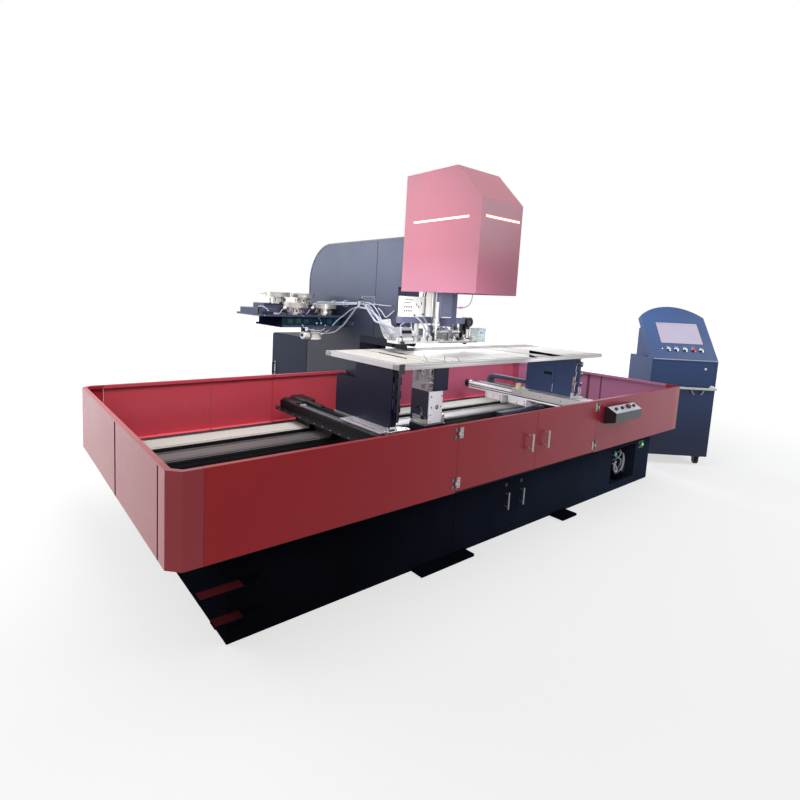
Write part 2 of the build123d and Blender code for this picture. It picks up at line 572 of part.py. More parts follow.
# Y modules across, each on two carriages
def cross_module(x0):
    x1 = x0 + CROSS_WIDTH
    body = box(x0, x1, CROSS_FRONT, CROSS_REAR, CROSS_BOTTOM, CROSS_TOP)
    for z in (628.0, 648.0):
        body -= box(x0 - 1, x0 + 5, CROSS_FRONT - 1, CROSS_REAR + 1, z, z + 8)
        body -= box(x1 - 5, x1 + 1, CROSS_FRONT - 1, CROSS_REAR + 1, z, z + 8)
    for y in (RAIL_FRONT_Y, RAIL_REAR_Y):
        body += box(x0 + 4, x1 - 4, y + 2, y + RAIL_WIDTH - 2, RAIL_TOP + RUNNING_GAP, CROSS_BOTTOM)
        body += box(x0 + 4, x1 - 4, y - 14, y + 2, RAIL_TOP + RUNNING_GAP, CROSS_BOTTOM)
        body += box(x0 + 4, x1 - 4, y - 14, y - 1, RAIL_TOP - 22, RAIL_TOP + RUNNING_GAP)
    body += box(x0 + 20, x1 - 20, CROSS_REAR, CROSS_REAR + 34, CROSS_BOTTOM + 6, CROSS_TOP - 4)
    return body


left_cross = cross_module(CROSS_LEFT_X)
trough_x0 = CROSS_LEFT_X + 92
left_cross += box(trough_x0, trough_x0 + 30, CROSS_FRONT + 20, CROSS_REAR,
                  CROSS_TOP, CARRIAGE_TOP - 14)
left_cross += box(CROSS_LEFT_X + 14, CROSS_LEFT_X + 78, CROSS_FRONT, CROSS_REAR,
                  CROSS_TOP, CROSS_TOP + 4)
left_cross += box(CROSS_LEFT_X - 62, CROSS_LEFT_X, CROSS_FRONT + 60, CROSS_REAR - 20,
                  CROSS_BOTTOM, CROSS_BOTTOM + 4)
save("y_module_left", left_cross)

right_cross = cross_module(CROSS_RIGHT_X)
right_cross += box(CROSS_RIGHT_X + 12, CROSS_RIGHT_X + CROSS_WIDTH - 12, CROSS_FRONT,
                   CROSS_REAR, CROSS_TOP, CROSS_TOP + 4)
right_cross += bar_y(CROSS_RIGHT_X + 34, CROSS_REAR, CROSS_REAR + 40, CROSS_TOP - 16, 38)
save("y_module_right", right_cross)

# Energy chain beside the right module: trough, loop and upper run
chain_x0 = CROSS_RIGHT_X + CROSS_WIDTH + 14
chain_x1 = chain_x0 + 60
chain_points = [
    (720, 644), (CHAIN_REAR, 644), (CHAIN_REAR, 768), (1100, 768), (1100, 733),
    (CHAIN_REAR - 35, 733), (CHAIN_REAR - 35, 679), (720, 679),
]
chain = side_plate(chain_points, chain_x0, chain_x1, [
    (CHAIN_REAR, 644, 61), (CHAIN_REAR, 768, 61),
    (CHAIN_REAR - 35, 733, 26), (CHAIN_REAR - 35, 679, 26),
])
for y in range(760, 1600, LINK_PITCH):
    chain -= box(chain_x0 - 1, chain_x1 + 1, y, y + LINK_GAP, 679 - LINK_GAP, 680)
for y in range(1100 + LINK_PITCH, 1600, LINK_PITCH):
    chain -= box(chain_x0 - 1, chain_x1 + 1, y, y + LINK_GAP, 768 - LINK_GAP, 769)
    chain -= box(chain_x0 - 1, chain_x0 + LINK_GAP, y, y + LINK_GAP, 732, 769)
chain += box(chain_x0 - 14, chain_x1, 700, 1600, 636, 644)
save("energy_chain", chain)


def upright(x0, y0, y1, y_step, slit):
    """Stepped plate housing on its carriage, lower behind y_step."""
    underside = TABLE_TOP - TABLE_THICK
    points = [(y0, CARRIAGE_TOP), (y0, underside), (y_step, underside), (y_step, 974),
              (y1, 974), (y1, CARRIAGE_TOP)]
    plate = side_plate(points, x0, x0 + 48)
    plate += box(x0 - 6, x0 + 60, y0 - 8, y0, 742, 1060)
    for z in (1016.0, 930.0, 840.0):
        plate += box(x0 + 4, x0 + 40, y0 - 44, y0 - 8, z - 24, z + 24)
    plate += post(x0 + 22, y0 - 30, 862, 1000, 8)
    if slit:
        plate -= box(x0 - 1, x0 + 3, slit, slit + 12, 800, 880)
    return plate


left_up_x, right_up_x = 1512.0, 3769.0
left_up = upright(left_up_x, 528, 1140, 915, 0)
left_up += box(trough_x0 + 34, CROSS_LEFT_X + CROSS_WIDTH + 8, 430, 1160,
               CARRIAGE_TOP - 12, CARRIAGE_TOP)
left_up += box(trough_x0 + 34, CROSS_LEFT_X + CROSS_WIDTH - 6, 430, 1160,
               CROSS_TOP + RUNNING_GAP, CARRIAGE_TOP - 12)
save("upright_left", left_up)
right_up = upright(right_up_x, 590, 1100, 880, 820)
right_up += box(CROSS_RIGHT_X - 10, CROSS_RIGHT_X + CROSS_WIDTH + 8, 400, 1170,
                CARRIAGE_TOP - 18, CARRIAGE_TOP)
right_up += box(CROSS_RIGHT_X + 6, CROSS_RIGHT_X + CROSS_WIDTH - 6, 420, 1150,
                CROSS_TOP + 4 + RUNNING_GAP, CARRIAGE_TOP - 18)
right_up += box(CROSS_RIGHT_X - 10, CROSS_RIGHT_X - 4, 400, 1170, 640, CARRIAGE_TOP - 18)
right_up += box(CROSS_RIGHT_X + 20, CROSS_RIGHT_X + 52, 1108, 1150, CARRIAGE_TOP, 752)
save("upright_right", right_up)

# Table: profile frame with a black stop at the front left corner, pale support plates
z0, z1 = TABLE_TOP - TABLE_THICK, TABLE_TOP
p = TABLE_PROFILE
frame = box(TABLE_LEFT, TABLE_RIGHT, TABLE_FRONT, TABLE_REAR, z0, z1)
frame -= box(TABLE_LEFT + p, TABLE_RIGHT - p, TABLE_FRONT + p, TABLE_REAR - p, z0 - 1, z1 + 1)
for x in (2020.0, 2990.0, 3330.0):
    frame += box(x, x + 44, TABLE_FRONT + p, TABLE_REAR - p, z0 + 8, z1)
for y0, y1 in ((TABLE_FRONT - 1, TABLE_FRONT + 5), (TABLE_REAR - 5, TABLE_REAR + 1)):
    frame -= box(TABLE_LEFT - 1, TABLE_RIGHT + 1, y0, y1, z0 + 12, z0 + 21)
frame += box(TABLE_LEFT - 4, TABLE_LEFT + 36, TABLE_FRONT - 9, TABLE_FRONT, 1070, z1 + 6)
frame += box(TABLE_LEFT - 4, TABLE_LEFT + 8, TABLE_FRONT - 9, TABLE_FRONT - 1, 770, 1070)
save("table_frame", frame)
plates = []
seat = TABLE_PROFILE - 24
for x0, x1 in ((1540, 1786), (1812, 1940), (1966, 3000), (3030, 3300), (3328, 3884)):
    plates.append(box(x0, x1, TABLE_FRONT + seat, TABLE_REAR - seat, z1, z1 + 3))
save("table_plates", group(*plates))

# Bowl feeders on a shelf bracketed to the press frame
DRIVE_SLOTS = 16
shelf = box(1480, FRAME_LEFT, 1950, 2420, 1240, 1256)
shelf += box(1500, 2100, 1970, 2400, 1256, 1330)
shelf += box(1296, FRAME_LEFT, 1950, 2420, 1330, 1346)
shelf += box(1310, 1470, 1990, 2380, 1346, 1392)
shelf += box(1450, 2110, 2205, 2420, 1346, 1432)
save("feeder_shelf", shelf)


def bowl_feeder(x, y, z):
    unit = post(x, y, z, z + 18, 62)
    unit += post(x, y, z + 18, z + 48, 70)
    unit += post(x, y, z + 48, z + 60, 58)
    slot = Pos(70, 0, 0) * Box(8, 9, 22)
    slots = PolarLocations(0, DRIVE_SLOTS) * slot
    unit -= spot(x, y, z + 33) * Compound(children=list(slots))
    bowl = post(x, y, z + 60, z + 98, 108)
    bowl -= post(x, y, z + 64, z + 99, 104)
    bowl += post(x, y, z + 64, z + 74, 104) - post(x, y, z + 63, z + 75, 76)
    return unit + bowl


bowls = [
    bowl_feeder(1688, 2068, 1346), bowl_feeder(1986, 2068, 1346),
    bowl_feeder(1640, 2314, 1432), bowl_feeder(1900, 2314, 1432),
]
save("feeder_bowls", group(*bowls))
canister = post(1862, 2060, 1130, 1196, 80) + post(1862, 2060, 1196, 1240, 30)
save("feeder_canister", canister)

# Hoses from the feeders to the head, held at both ends and by a strap
hose_x = FRAME_LEFT - 16.0
main_hose = tube([(hose_x, 2380, 1452), (hose_x, 1661, 1468), (hose_x, 1420, 1352),
                  (hose_x, 1290, 1236), (hose_x, 1120, 1236), (hose_x - 60, 1008, 1236)],
                 13, 60)
second_hose = tube([(1930, 2002, 1180), (2060, 2002, 1190), (hose_x - 30, 1900, 1262),
                    (hose_x - 30, 1700, 1436), (hose_x - 30, 1560, 1430),
                    (hose_x - 30, 1440, 1330), (hose_x - 30, 1250, 1300),
                    (hose_x - 90, 1090, 1276)], 8, 50)
strap = box(hose_x - 50, FRAME_LEFT, 1640, 1668, 1440, 1490) - box(
    hose_x - 46, FRAME_LEFT - 1, 1639, 1669, 1444, 1486)
save("feed_hoses", group(main_hose, second_hose, strap))

# Button box with four buttons on the sloping top
slope = math.radians(BOX_SLOPE)
drop = BOX_DEPTH * math.tan(slope)
housing_front = -BOX_STAND - BOX_DEPTH
housing_points = [
    (0, BOX_BOTTOM), (0, BOX_REAR_TOP), (-BOX_STAND, BOX_REAR_TOP),
    (housing_front, BOX_REAR_TOP - drop), (housing_front, BOX_BOTTOM + 24),
]
housing = side_plate(housing_points, BOX_LEFT, BOX_LEFT + BOX_WIDTH)
button_xs = [BOX_LEFT + BOX_WIDTH * part for part in (0.13, 0.36, 0.585, 0.815)]


def on_slope(x, along, shape):
    """Stands a shape on the slope, along mm down from the rear edge of the box."""
    y = -BOX_STAND - along * math.cos(slope)
    z = BOX_REAR_TOP - along * math.sin(slope)
    return spot(x, y, z) * Rot(BOX_SLOPE, 0, 0) * shape


slant = BOX_DEPTH / math.cos(slope)
cover_plate = on_slope(BOX_LEFT + BOX_WIDTH / 2, slant / 2,
                       Pos(0, 0, 1.5) * Box(BOX_WIDTH - 2, slant - 2, 3))
for x in button_xs:
    bore = on_slope(x, slant / 2, Pos(0, 0, -16) * Cylinder(
        BUTTON_STEM + BUTTON_PLAY, 44))
    housing -= bore
    cover_plate -= bore
save("button_box", housing + cover_plate)


def push_button(radius, tall):
    cap = Pos(0, 0, 3 + 8 + tall / 2) * Cylinder(radius, tall)
    return cap + Pos(0, 0, -8) * Cylinder(BUTTON_STEM, 39)


names = ("box_button_start", "box_button_reset", "box_stop_button", "box_button_clamp")
for name, x in zip(names, button_xs):
    if name == "box_stop_button":
        button = push_button(20, 14)
    else:
        button = push_button(13, 8)
    save(name, on_slope(x, slant / 2, button))

# Console: cabinet, tilted screen panel with an arched top, keyboard shelf, castors
console_place = spot(CONSOLE_X, CONSOLE_Y, 0) * Rot(0, 0, CONSOLE_TURN)


def local_box(x0, x1, y0, y1, z0, z1):
    middle = ((x0 + x1) / 2, (y0 + y1) / 2, (z0 + z1) / 2)
    return Pos(*middle) * Box(x1 - x0, y1 - y0, z1 - z0)


w = CONSOLE_WIDTH
body = local_box(0, w, 0, CONSOLE_DEPTH, CONSOLE_BOTTOM, CONSOLE_FOLD)
body -= local_box(3, w - 3, 3, CONSOLE_DEPTH - 3, CONSOLE_BOTTOM + 3, CONSOLE_FOLD - 3)
body -= local_box(24, w - 24, -1, 10, SHELF_HEIGHT - 14, SHELF_HEIGHT + 14)
for x0, x1 in ((3, 44), (w - 44, w - 3)):
    body += local_box(x0, x1, 6, 400, SHELF_HEIGHT - 22, SHELF_HEIGHT - 9.4)
castor_spots = [(60, 60), (w - 60, 60), (60, CONSOLE_DEPTH - 60), (w - 60, CONSOLE_DEPTH - 60)]
for x, y in castor_spots[2:]:
    body += local_box(x - 30, x + 30, y - 34, y + 34, CONSOLE_BOTTOM - 5, CONSOLE_BOTTOM)
    for dx in (-20, 20):
        body += local_box(x + dx - 2, x + dx + 2, y - 18, y + 18, 30, CONSOLE_BOTTOM - 5)
    body += Pos(x, y, WHEEL_RADIUS) * Rot(0, 90, 0) * Cylinder(5.95, 44)
save("console_cabinet", console_place * body)

tilt = math.radians(CONSOLE_TILT)
head_deep = 60.0
with BuildSketch() as arch:
    with BuildLine():
        Line((0, 0), (w, 0))
        Line((w, 0), (w, CONSOLE_PANEL))
        ThreePointArc((w, CONSOLE_PANEL), (w / 2, CONSOLE_PANEL + CONSOLE_ARCH),
                      (0, CONSOLE_PANEL))
        Line((0, CONSOLE_PANEL), (0, 0))
    make_face()
panel_place = Pos(0, 0, CONSOLE_FOLD) * Rot(90 - CONSOLE_TILT, 0, 0)
hood = extrude(arch.sketch, amount=-head_deep)
hood = panel_place * hood
prop = Plane.YZ * Polygon((head_deep + 6, CONSOLE_FOLD), (CONSOLE_DEPTH, CONSOLE_FOLD),
                          (CONSOLE_DEPTH, 1340), (330, 1400), align=None)
hood += Pos(60, 0, 0) * extrude(prop, amount=w - 120)
hood -= local_box(-5, w + 5, -100, CONSOLE_DEPTH + 200, CONSOLE_FOLD - 200, CONSOLE_FOLD)
hood -= panel_place * local_box(126, 553, 190, 454, -4, 1)
panel_buttons = [184.0, 261.0, 348.0, 430.0, 506.0]
for x in panel_buttons:
    hood -= panel_place * Pos(x, 118, -20) * Cylinder(
        BUTTON_STEM + BUTTON_PLAY, 44)
save("console_panel", console_place * hood)

for index, x in enumerate(panel_buttons):
    press_button = Pos(0, 0, 9 + 4) * Cylinder(15, 8) + Pos(0, 0, -7) * Cylinder(
        BUTTON_STEM, 34)
    shape = console_place * panel_place * Pos(x, 118, 0) * press_button
    name = "console_stop_button" if index == 3 else "console_button_" + str(index + 1)
    save(name, shape)

drawer = local_box(28, w - 28, -26, 360, SHELF_HEIGHT - 9, SHELF_HEIGHT + 9)
drawer += local_box(14, w - 2, -34, -8, SHELF_HEIGHT - 11, SHELF_HEIGHT + 11)
ring = Pos(460, -22, SHELF_HEIGHT - 11) * Rot(90, 0, 0) * (Cylinder(62, 8) - Cylinder(54, 10))
ring &= local_box(380, 540, -40, 0, SHELF_HEIGHT - 60, SHELF_HEIGHT - 11)
save("keyboard_drawer", console_place * (drawer + ring))

for name, (x, y) in zip(("left", "right"), castor_spots[:2]):
    fork = Pos(x, y, CONSOLE_BOTTOM - 4.6) * Cylinder(28, 8)
    for dx in (-20, 20):
        fork += local_box(x + dx - 2, x + dx + 2, y - 2, y + 40, 30, CONSOLE_BOTTOM - 7)
    fork += Pos(x, y + 22, WHEEL_RADIUS) * Rot(0, 90, 0) * Cylinder(5.95, 44)
    save("castor_fork_" + name, console_place * fork)
wheel_names = ("front_left", "front_right", "rear_left", "rear_right")
for name, (x, y) in zip(wheel_names, castor_spots):
    y_axle = y + 22 if name.startswith("front") else y
    wheel = Cylinder(WHEEL_RADIUS, 26) - Cylinder(6, 30)
    wheel = Pos(x, y_axle, WHEEL_RADIUS) * Rot(0, 90, 0) * wheel
    save("castor_wheel_" + name, console_place * wheel)
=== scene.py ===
import math

import bmesh
import bpy
from mathutils import Matrix, Vector


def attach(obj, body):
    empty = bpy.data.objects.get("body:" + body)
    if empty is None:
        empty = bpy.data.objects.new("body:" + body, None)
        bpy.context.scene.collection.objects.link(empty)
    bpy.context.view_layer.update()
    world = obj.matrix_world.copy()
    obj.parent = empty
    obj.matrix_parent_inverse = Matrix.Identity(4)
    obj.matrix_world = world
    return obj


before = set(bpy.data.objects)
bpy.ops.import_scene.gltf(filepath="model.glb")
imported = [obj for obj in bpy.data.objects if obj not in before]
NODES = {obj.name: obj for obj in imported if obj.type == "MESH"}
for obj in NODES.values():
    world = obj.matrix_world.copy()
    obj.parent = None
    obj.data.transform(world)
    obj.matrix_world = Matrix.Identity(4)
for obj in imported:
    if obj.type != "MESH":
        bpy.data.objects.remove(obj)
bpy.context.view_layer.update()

# The machine is measured in mm from the tray's front left corner, the part's frame lies under its middle
MACHINE = Matrix.Translation((-2.3, -0.95, 0)) @ Matrix.Scale(0.001, 4)
CONSOLE = MACHINE @ Matrix.Translation((4752, 346, 0)) @ Matrix.Rotation(math.radians(-40), 4, "Z")
PANEL = CONSOLE @ Matrix.Translation((0, 0, 1064)) @ Matrix.Rotation(math.radians(52), 4, "X")
X, Y, Z = Vector((1, 0, 0)), Vector((0, 1, 0)), Vector((0, 0, 1))
LEFT, FRONT, DOWN = -X, -Y, -Z


def rgb(red, green, blue):
    """A colour written as it shows on a screen, made linear."""
    def linear(v):
        v /= 255
        return v / 12.92 if v <= 0.04045 else ((v + 0.055) / 1.055) ** 2.4
    return (linear(red), linear(green), linear(blue), 1)


def in_frame(axis, mm):
    """A machine coordinate in mm as the part's own coordinate in metres."""
    return mm / 1000 + {"x": -2.3, "y": -0.95, "z": 0.0}[axis]


class Finish:
    """Wires one procedural material around a Principled shader."""

    def __init__(self, name):
        self.material = bpy.data.materials.new(name)
        self.material.use_nodes = True
        self.tree = self.material.node_tree
        self.tree.nodes.clear()
        self.shader = self.node("BsdfPrincipled")
        out = self.node("OutputMaterial")
        self.link(self.shader.outputs[0], out.inputs["Surface"])
        self.place = self.node("TexCoord").outputs["Object"]

    def node(self, kind, **settings):
        made = self.tree.nodes.new("ShaderNode" + kind)
        for key, value in settings.items():
            setattr(made, key, value)
        return made

    def link(self, source, target):
        self.tree.links.new(source, target)

    def feed(self, value, target):
        if hasattr(value, "is_output"):
            self.link(value, target)
        else:
            target.default_value = value

    def math(self, operation, a, b):
        made = self.node("Math", operation=operation)
        self.feed(a, made.inputs[0])
        self.feed(b, made.inputs[1])
        return made.outputs[0]

    def noise(self, scale, detail=2.0, stretch=(1, 1, 1)):
        spot = self.node("Mapping")
        spot.inputs["Scale"].default_value = stretch
        self.link(self.place, spot.inputs[0])
        made = self.node("TexNoise")
        self.link(spot.outputs[0], made.inputs["Vector"])
        made.inputs["Scale"].default_value = scale
        made.inputs["Detail"].default_value = detail
        return made.outputs["Fac"]

    def ramp(self, value, low, high):
        made = self.node("MapRange", clamp=False)
        self.feed(value, made.inputs["Value"])
        made.inputs["From Min"].default_value = 0.25
        made.inputs["From Max"].default_value = 0.75
        made.inputs["To Min"].default_value = low
        made.inputs["To Max"].default_value = high
        return made.outputs[0]

    def mix(self, factor, a, b):
        made = self.node("Mix", data_type="RGBA")
        self.feed(factor, made.inputs[0])
        self.feed(a, made.inputs[6])
        self.feed(b, made.inputs[7])
        return made.outputs[2]

    def shade(self, colour, factor):
        """The colour times a number that varies over the surface."""
        made = self.node("VectorMath", operation="SCALE")
        self.feed(colour[:3] if isinstance(colour, tuple) else colour, made.inputs[0])
        self.feed(factor, made.inputs["Scale"])
        return made.outputs[0]

    def inside(self, limits):
        """1 inside a box of the machine, given in mm as axis: (low, high), and 0 outside it."""
        split = self.node("SeparateXYZ")
        self.link(self.place, split.inputs[0])
        factor = 1.0
        for axis, (low, high) in limits.items():
            value = split.outputs["xyz".index(axis)]
            for edge, operation in ((low, "GREATER_THAN"), (high, "LESS_THAN")):
                if edge is not None:
                    side = self.math(operation, value, in_frame(axis, edge))
                    factor = self.math("MULTIPLY", factor, side)
        return factor

    def bump(self, height, strength, distance=0.001):
        made = self.node("Bump")
        made.inputs["Strength"].default_value = strength
        made.inputs["Distance"].default_value = distance
        self.link(height, made.inputs["Height"])
        self.link(made.outputs[0], self.shader.inputs["Normal"])


def finish(name, colour, rough, metal=0.0, specular=0.5, vary=0.06, patch=2.5, grain=900,
           bump=0.12, stretch=(1, 1, 1), zones=(), uneven=0.03):
    """A solid finish. colour is red, green, blue as on a screen, or a fade (axis, mm, colour, mm, colour)
    along an axis. zones are (limits, colour, roughness, metal) of the parts of a node that differ, with
    a specular level of their own where a fifth value follows."""
    made = Finish(name)
    gloss, metalness, shine = rough, metal, specular
    if len(colour) == 5:
        axis, first, first_colour, last, last_colour = colour
        split = made.node("SeparateXYZ")
        made.link(made.place, split.inputs[0])
        share = made.node("MapRange")
        made.link(split.outputs[axis.upper()], share.inputs["Value"])
        share.inputs["From Min"].default_value = in_frame(axis, first)
        share.inputs["From Max"].default_value = in_frame(axis, last)
        tone = made.mix(share.outputs[0], rgb(*first_colour), rgb(*last_colour))
    else:
        tone = rgb(*colour)
    for limits, other, other_rough, other_metal, *other_shine in zones:
        factor = made.inside(limits)
        for level in other_shine:
            shine = made.math("ADD", made.math("MULTIPLY", factor, level - specular), shine)
        tone = made.mix(factor, tone, rgb(*other))
        gloss = made.math("ADD", made.math("MULTIPLY", factor, other_rough - rough), gloss)
        metalness = made.math("ADD", made.math("MULTIPLY", factor, other_metal - metal), metalness)
    broad = made.noise(patch, 3)
    fine = made.noise(grain, 2, stretch)
    tone = made.shade(tone, made.ramp(broad, 1 - vary, 1 + vary))
    made.link(tone, made.shader.inputs["Base Color"])
    patchy = made.ramp(made.noise(patch * 1.6, 2), -uneven, uneven)
    made.link(made.math("ADD", gloss, patchy), made.shader.inputs["Roughness"])
    made.feed(metalness, made.shader.inputs["Metallic"])
    made.feed(shine, made.shader.inputs["Specular IOR Level"])
    made.bump(fine, bump)
    return made.material


def glow(name, colour, strength, under=None):
    """A lamp, a screen or a painted glow: its own light over a plain plastic."""
    made = Finish(name)
    made.shader.inputs["Base Color"].default_value = rgb(*(under or colour))
    made.shader.inputs["Specular IOR Level"].default_value = 0.2
    made.shader.inputs["Roughness"].default_value = 0.35
    tone = made.shade(rgb(*colour), made.ramp(made.noise(5, 2), 0.96, 1.04))
    made.link(tone, made.shader.inputs["Emission Color"])
    made.shader.inputs["Emission Strength"].default_value = strength
    return made.material


# What several finishes share: painted shade in the end wall's seams with a painted highlight along their
# edges, the tray and base lighter to the right as a painted reflection, two sheens
SEAM_SHADE, SEAM_EDGE_HIGHLIGHT = (74, 8, 30), (226, 110, 140)
# The tray's red turns paler and pinker to the right, and the base's black lighter and bluer: a painted
# reflection.
WALL_FADE_REFLECTION = ("x", 200, (172, 24, 32), 4500, (162, 44, 70))
DARK_FADE_REFLECTION = ("x", 900, (16, 17, 24), 4000, (48, 56, 74))
GLOSSY = {"vary": 0.05, "patch": 1.6, "bump": 0.03}
SATIN = {"specular": 0.0, "vary": 0.2, "bump": 0.06}

# Finishes of the part's own nodes
red_paint = finish("red_paint", WALL_FADE_REFLECTION, 0.3, specular=0.28, uneven=0.02, **GLOSSY)
# The inner faces are painted lighter as the light they get in the tray, the right one pinker and paler as a
# painted reflection. The seams on the left end's outside carry painted shade with a painted highlight along
# their edges, and two darker lines on the right end's inner face are painted shade.
end_wall_paint = finish("end_wall_paint", (166, 32, 48), 0.24, specular=0.6, uneven=0.02, **GLOSSY,
                        zones=[({"x": (1.5, 2300)}, (172, 46, 58), 0.3, 0.0),
                               ({"x": (2300, 4598.5)}, (192, 124, 160), 0.3, 0.0),
                               ({"x": (None, 1.5), "y": (866, 914), "z": (None, 846)}, SEAM_EDGE_HIGHLIGHT, 0.3, 0.0),
                               ({"x": (None, 1.5), "y": (875, 905), "z": (None, 846)}, SEAM_SHADE, 0.9, 0.0, 0.0),
                               ({"x": (None, 1.5), "y": (None, 148), "z": (None, 846)}, SEAM_SHADE, 0.9, 0.0, 0.0),
                               ({"x": (4590, 4598.5), "y": (880, 910)}, (120, 62, 86), 0.4, 0.0),
                               ({"x": (4590, 4598.5), "y": (750, 768)}, (126, 66, 90), 0.4, 0.0)])
# The posts' faces to the left are painted lighter as the light falling on them from the left, and the right
# rear post pinker and paler as a painted reflection.
post_paint = finish("post_paint", (158, 34, 48), 0.28, specular=0.45, uneven=0.02, **GLOSSY,
                    zones=[({"x": (None, 1.5)}, (186, 84, 96), 0.26, 0.0),
                           ({"x": (4400, 4598.5), "y": (1700, None)}, (184, 84, 106), 0.3, 0.0)])
# The back wall is painted lighter than the tray's outside as the light it gets in the tray, and paler and
# pinker to the right as a painted reflection.
inner_paint = finish("inner_paint", (184, 66, 78), 0.3, specular=0.4, **GLOSSY,
                     zones=[({"x": (2300, None)}, (180, 90, 114), 0.3, 0.0),
                            ({"z": (None, 464)}, (228, 92, 108), 0.35, 0.0),
                            ({"x": (863, 876)}, (170, 52, 66), 0.3, 0.0),
                            ({"x": (1389, 1402)}, (170, 52, 66), 0.3, 0.0)])
cover_paint = finish("cover_paint", ("z", 1590, (182, 100, 130), 1850, (178, 72, 100)), 0.26,
                     vary=0.04, patch=1.6, bump=0.03, uneven=0.02)
# The frame is painted dark low down and lighter towards the top: painted shade and light.
blue_paint = finish("blue_paint", ("z", 1120, (12, 18, 40), 1780, (72, 82, 112)), 0.42, specular=0.42,
                    vary=0.06, bump=0.06)
black_paint = finish("black_paint", (18, 20, 26), 0.5, **SATIN)
aluminium = finish("aluminium", (214, 213, 214), 0.36, metal=0.55, grain=160,
                   stretch=(0.05, 4, 4), bump=0.1)
bright_steel = finish("bright_steel", (196, 197, 200), 0.26, metal=0.9, grain=220, stretch=(1, 1, 6))
# The boards at the left and right are painted darker as shade, and the far part darker still with little
# sheen: painted shade.
pale_plate = finish("pale_plate", (238, 236, 232), 0.42, patch=3, vary=0.04,
                    zones=[({"x": (None, 1960)}, (206, 204, 196), 0.42, 0.0),
                           ({"x": (3014, None)}, (194, 189, 187), 0.42, 0.0),
                           ({"x": (1960, None), "y": (1040, None)}, (132, 128, 127), 0.5, 0.0, 0.1)])
grey_metal = finish("grey_metal", (120, 118, 117), 0.4, metal=0.5, grain=200, stretch=(0.05, 5, 5))
jet_metal = finish("jet_metal", (26, 27, 31), 0.38, vary=0.12, bump=0.1)
rubber = finish("rubber", (24, 24, 26), 0.75, grain=500, bump=0.3)
black_plastic = finish("black_plastic", (18, 18, 20), 0.4, grain=1200, bump=0.2)
white_plastic = finish("white_plastic", (244, 243, 238), 0.4, vary=0.03, bump=0.08)
led_light = glow("led_light", (255, 243, 236), 1.3)
screen_light = glow("screen_light", (200, 192, 216), 0.88, (40, 42, 56))

hinge_metal = finish("hinge_metal", (112, 106, 110), 0.38, metal=0.7, grain=200, stretch=(1, 1, 6))
tray_door_finish = finish("tray_door_finish", WALL_FADE_REFLECTION, 0.3, specular=0.28, **GLOSSY,
                          zones=[({"y": (None, -0.6)}, (196, 188, 184), 0.3, 0.4, 0.5)])
stop_red = finish("stop_red", (206, 28, 34), 0.3)
stop_dark = finish("stop_dark", (104, 44, 50), 0.4)
base_door_finish = finish("base_door_finish", DARK_FADE_REFLECTION, 0.5, **SATIN,
                          zones=[({"y": (None, 112.4)}, (150, 148, 156), 0.3, 0.6, 0.5)])
cabinet_paint = finish("cabinet_paint", (26, 33, 54), 0.5, specular=0.15, vary=0.09)
rear_door_finish = finish("rear_door_finish", (26, 33, 54), 0.5, specular=0.15, vary=0.09,
                          zones=[({"x": (None, 2129.4)}, (14, 17, 28), 0.5, 0.0)])
# The tops of the two ledges at the base's left end are painted red: a painted reflection of the tray.
base_finish = finish("base_finish", DARK_FADE_REFLECTION, 0.5, **SATIN,
                     zones=[({"z": (453.6, None)}, (64, 66, 68), 0.55, 0.0),
                            ({"z": (285, 287), "x": (143, 330), "y": (None, 114)}, (96, 34, 38), 0.6, 0.0),
                            ({"z": (144, 146), "x": (206, 330), "y": (None, 114)}, (74, 26, 30), 0.6, 0.0)])
beam_finish = finish("beam_finish", (104, 107, 136), 0.4,
                     zones=[({"z": (1395.6, None)}, (226, 226, 228), 0.15, 1.0)])
feed_finish = finish("feed_finish", (216, 214, 212), 0.32, metal=0.5,
                     zones=[({"y": (943, 1001), "z": (1222.5, None)}, (176, 178, 184), 0.3, 0.7)])
shelf_finish = finish("shelf_finish", (64, 72, 100), 0.45, specular=0.2,
                      zones=[({"z": (1256, 1330), "x": (1480, None)}, (20, 40, 50), 0.4, 0.0),
                             ({"z": (1238, 1330), "x": (None, 1503)}, (20, 26, 46), 0.5, 0.0, 0.0),
                             ({"z": (1346.5, None), "x": (1478, None)}, (74, 72, 92), 0.4, 0.0)])
bowl_finish = finish("bowl_finish", (214, 208, 198), 0.3, metal=0.55, patch=9)
rail_finish = finish("rail_finish", (34, 36, 40), 0.45, metal=0.3,
                     zones=[({"y": (1018, 1190), "z": (543.5, None)}, (96, 92, 92), 0.4, 0.3),
                            ({"y": (1303, 1505), "z": (543.5, None)}, (186, 183, 175), 0.45, 0.0)])
left_module_finish = finish("left_module_finish", (12, 13, 18), 0.42, specular=0.25, vary=0.15,
                            zones=[({"x": (1400, 1472), "y": (None, 1450), "z": (671, None)},
                                    (104, 102, 108), 0.4, 0.3)])
right_module_finish = finish("right_module_finish", (250, 248, 252), 0.42,
                             stretch=(4, 0.05, 4), grain=160,
                             zones=[({"y": (1736, None)}, (14, 14, 18), 0.4, 0.0)])
upright_finish = finish("upright_finish", (9, 18, 40), 0.42, specular=0.2, vary=0.12,
                        zones=[({"z": (None, 705.5)}, (150, 148, 146), 0.38, 0.5)])
right_upright_finish = finish("right_upright_finish", (46, 64, 102), 0.42, vary=0.1,
                              zones=[({"z": (None, 705.5)}, (206, 203, 200), 0.38, 0.3),
                                     ({"x": (None, 3720), "z": (705, None)}, (232, 222, 170), 0.4, 0.0)])
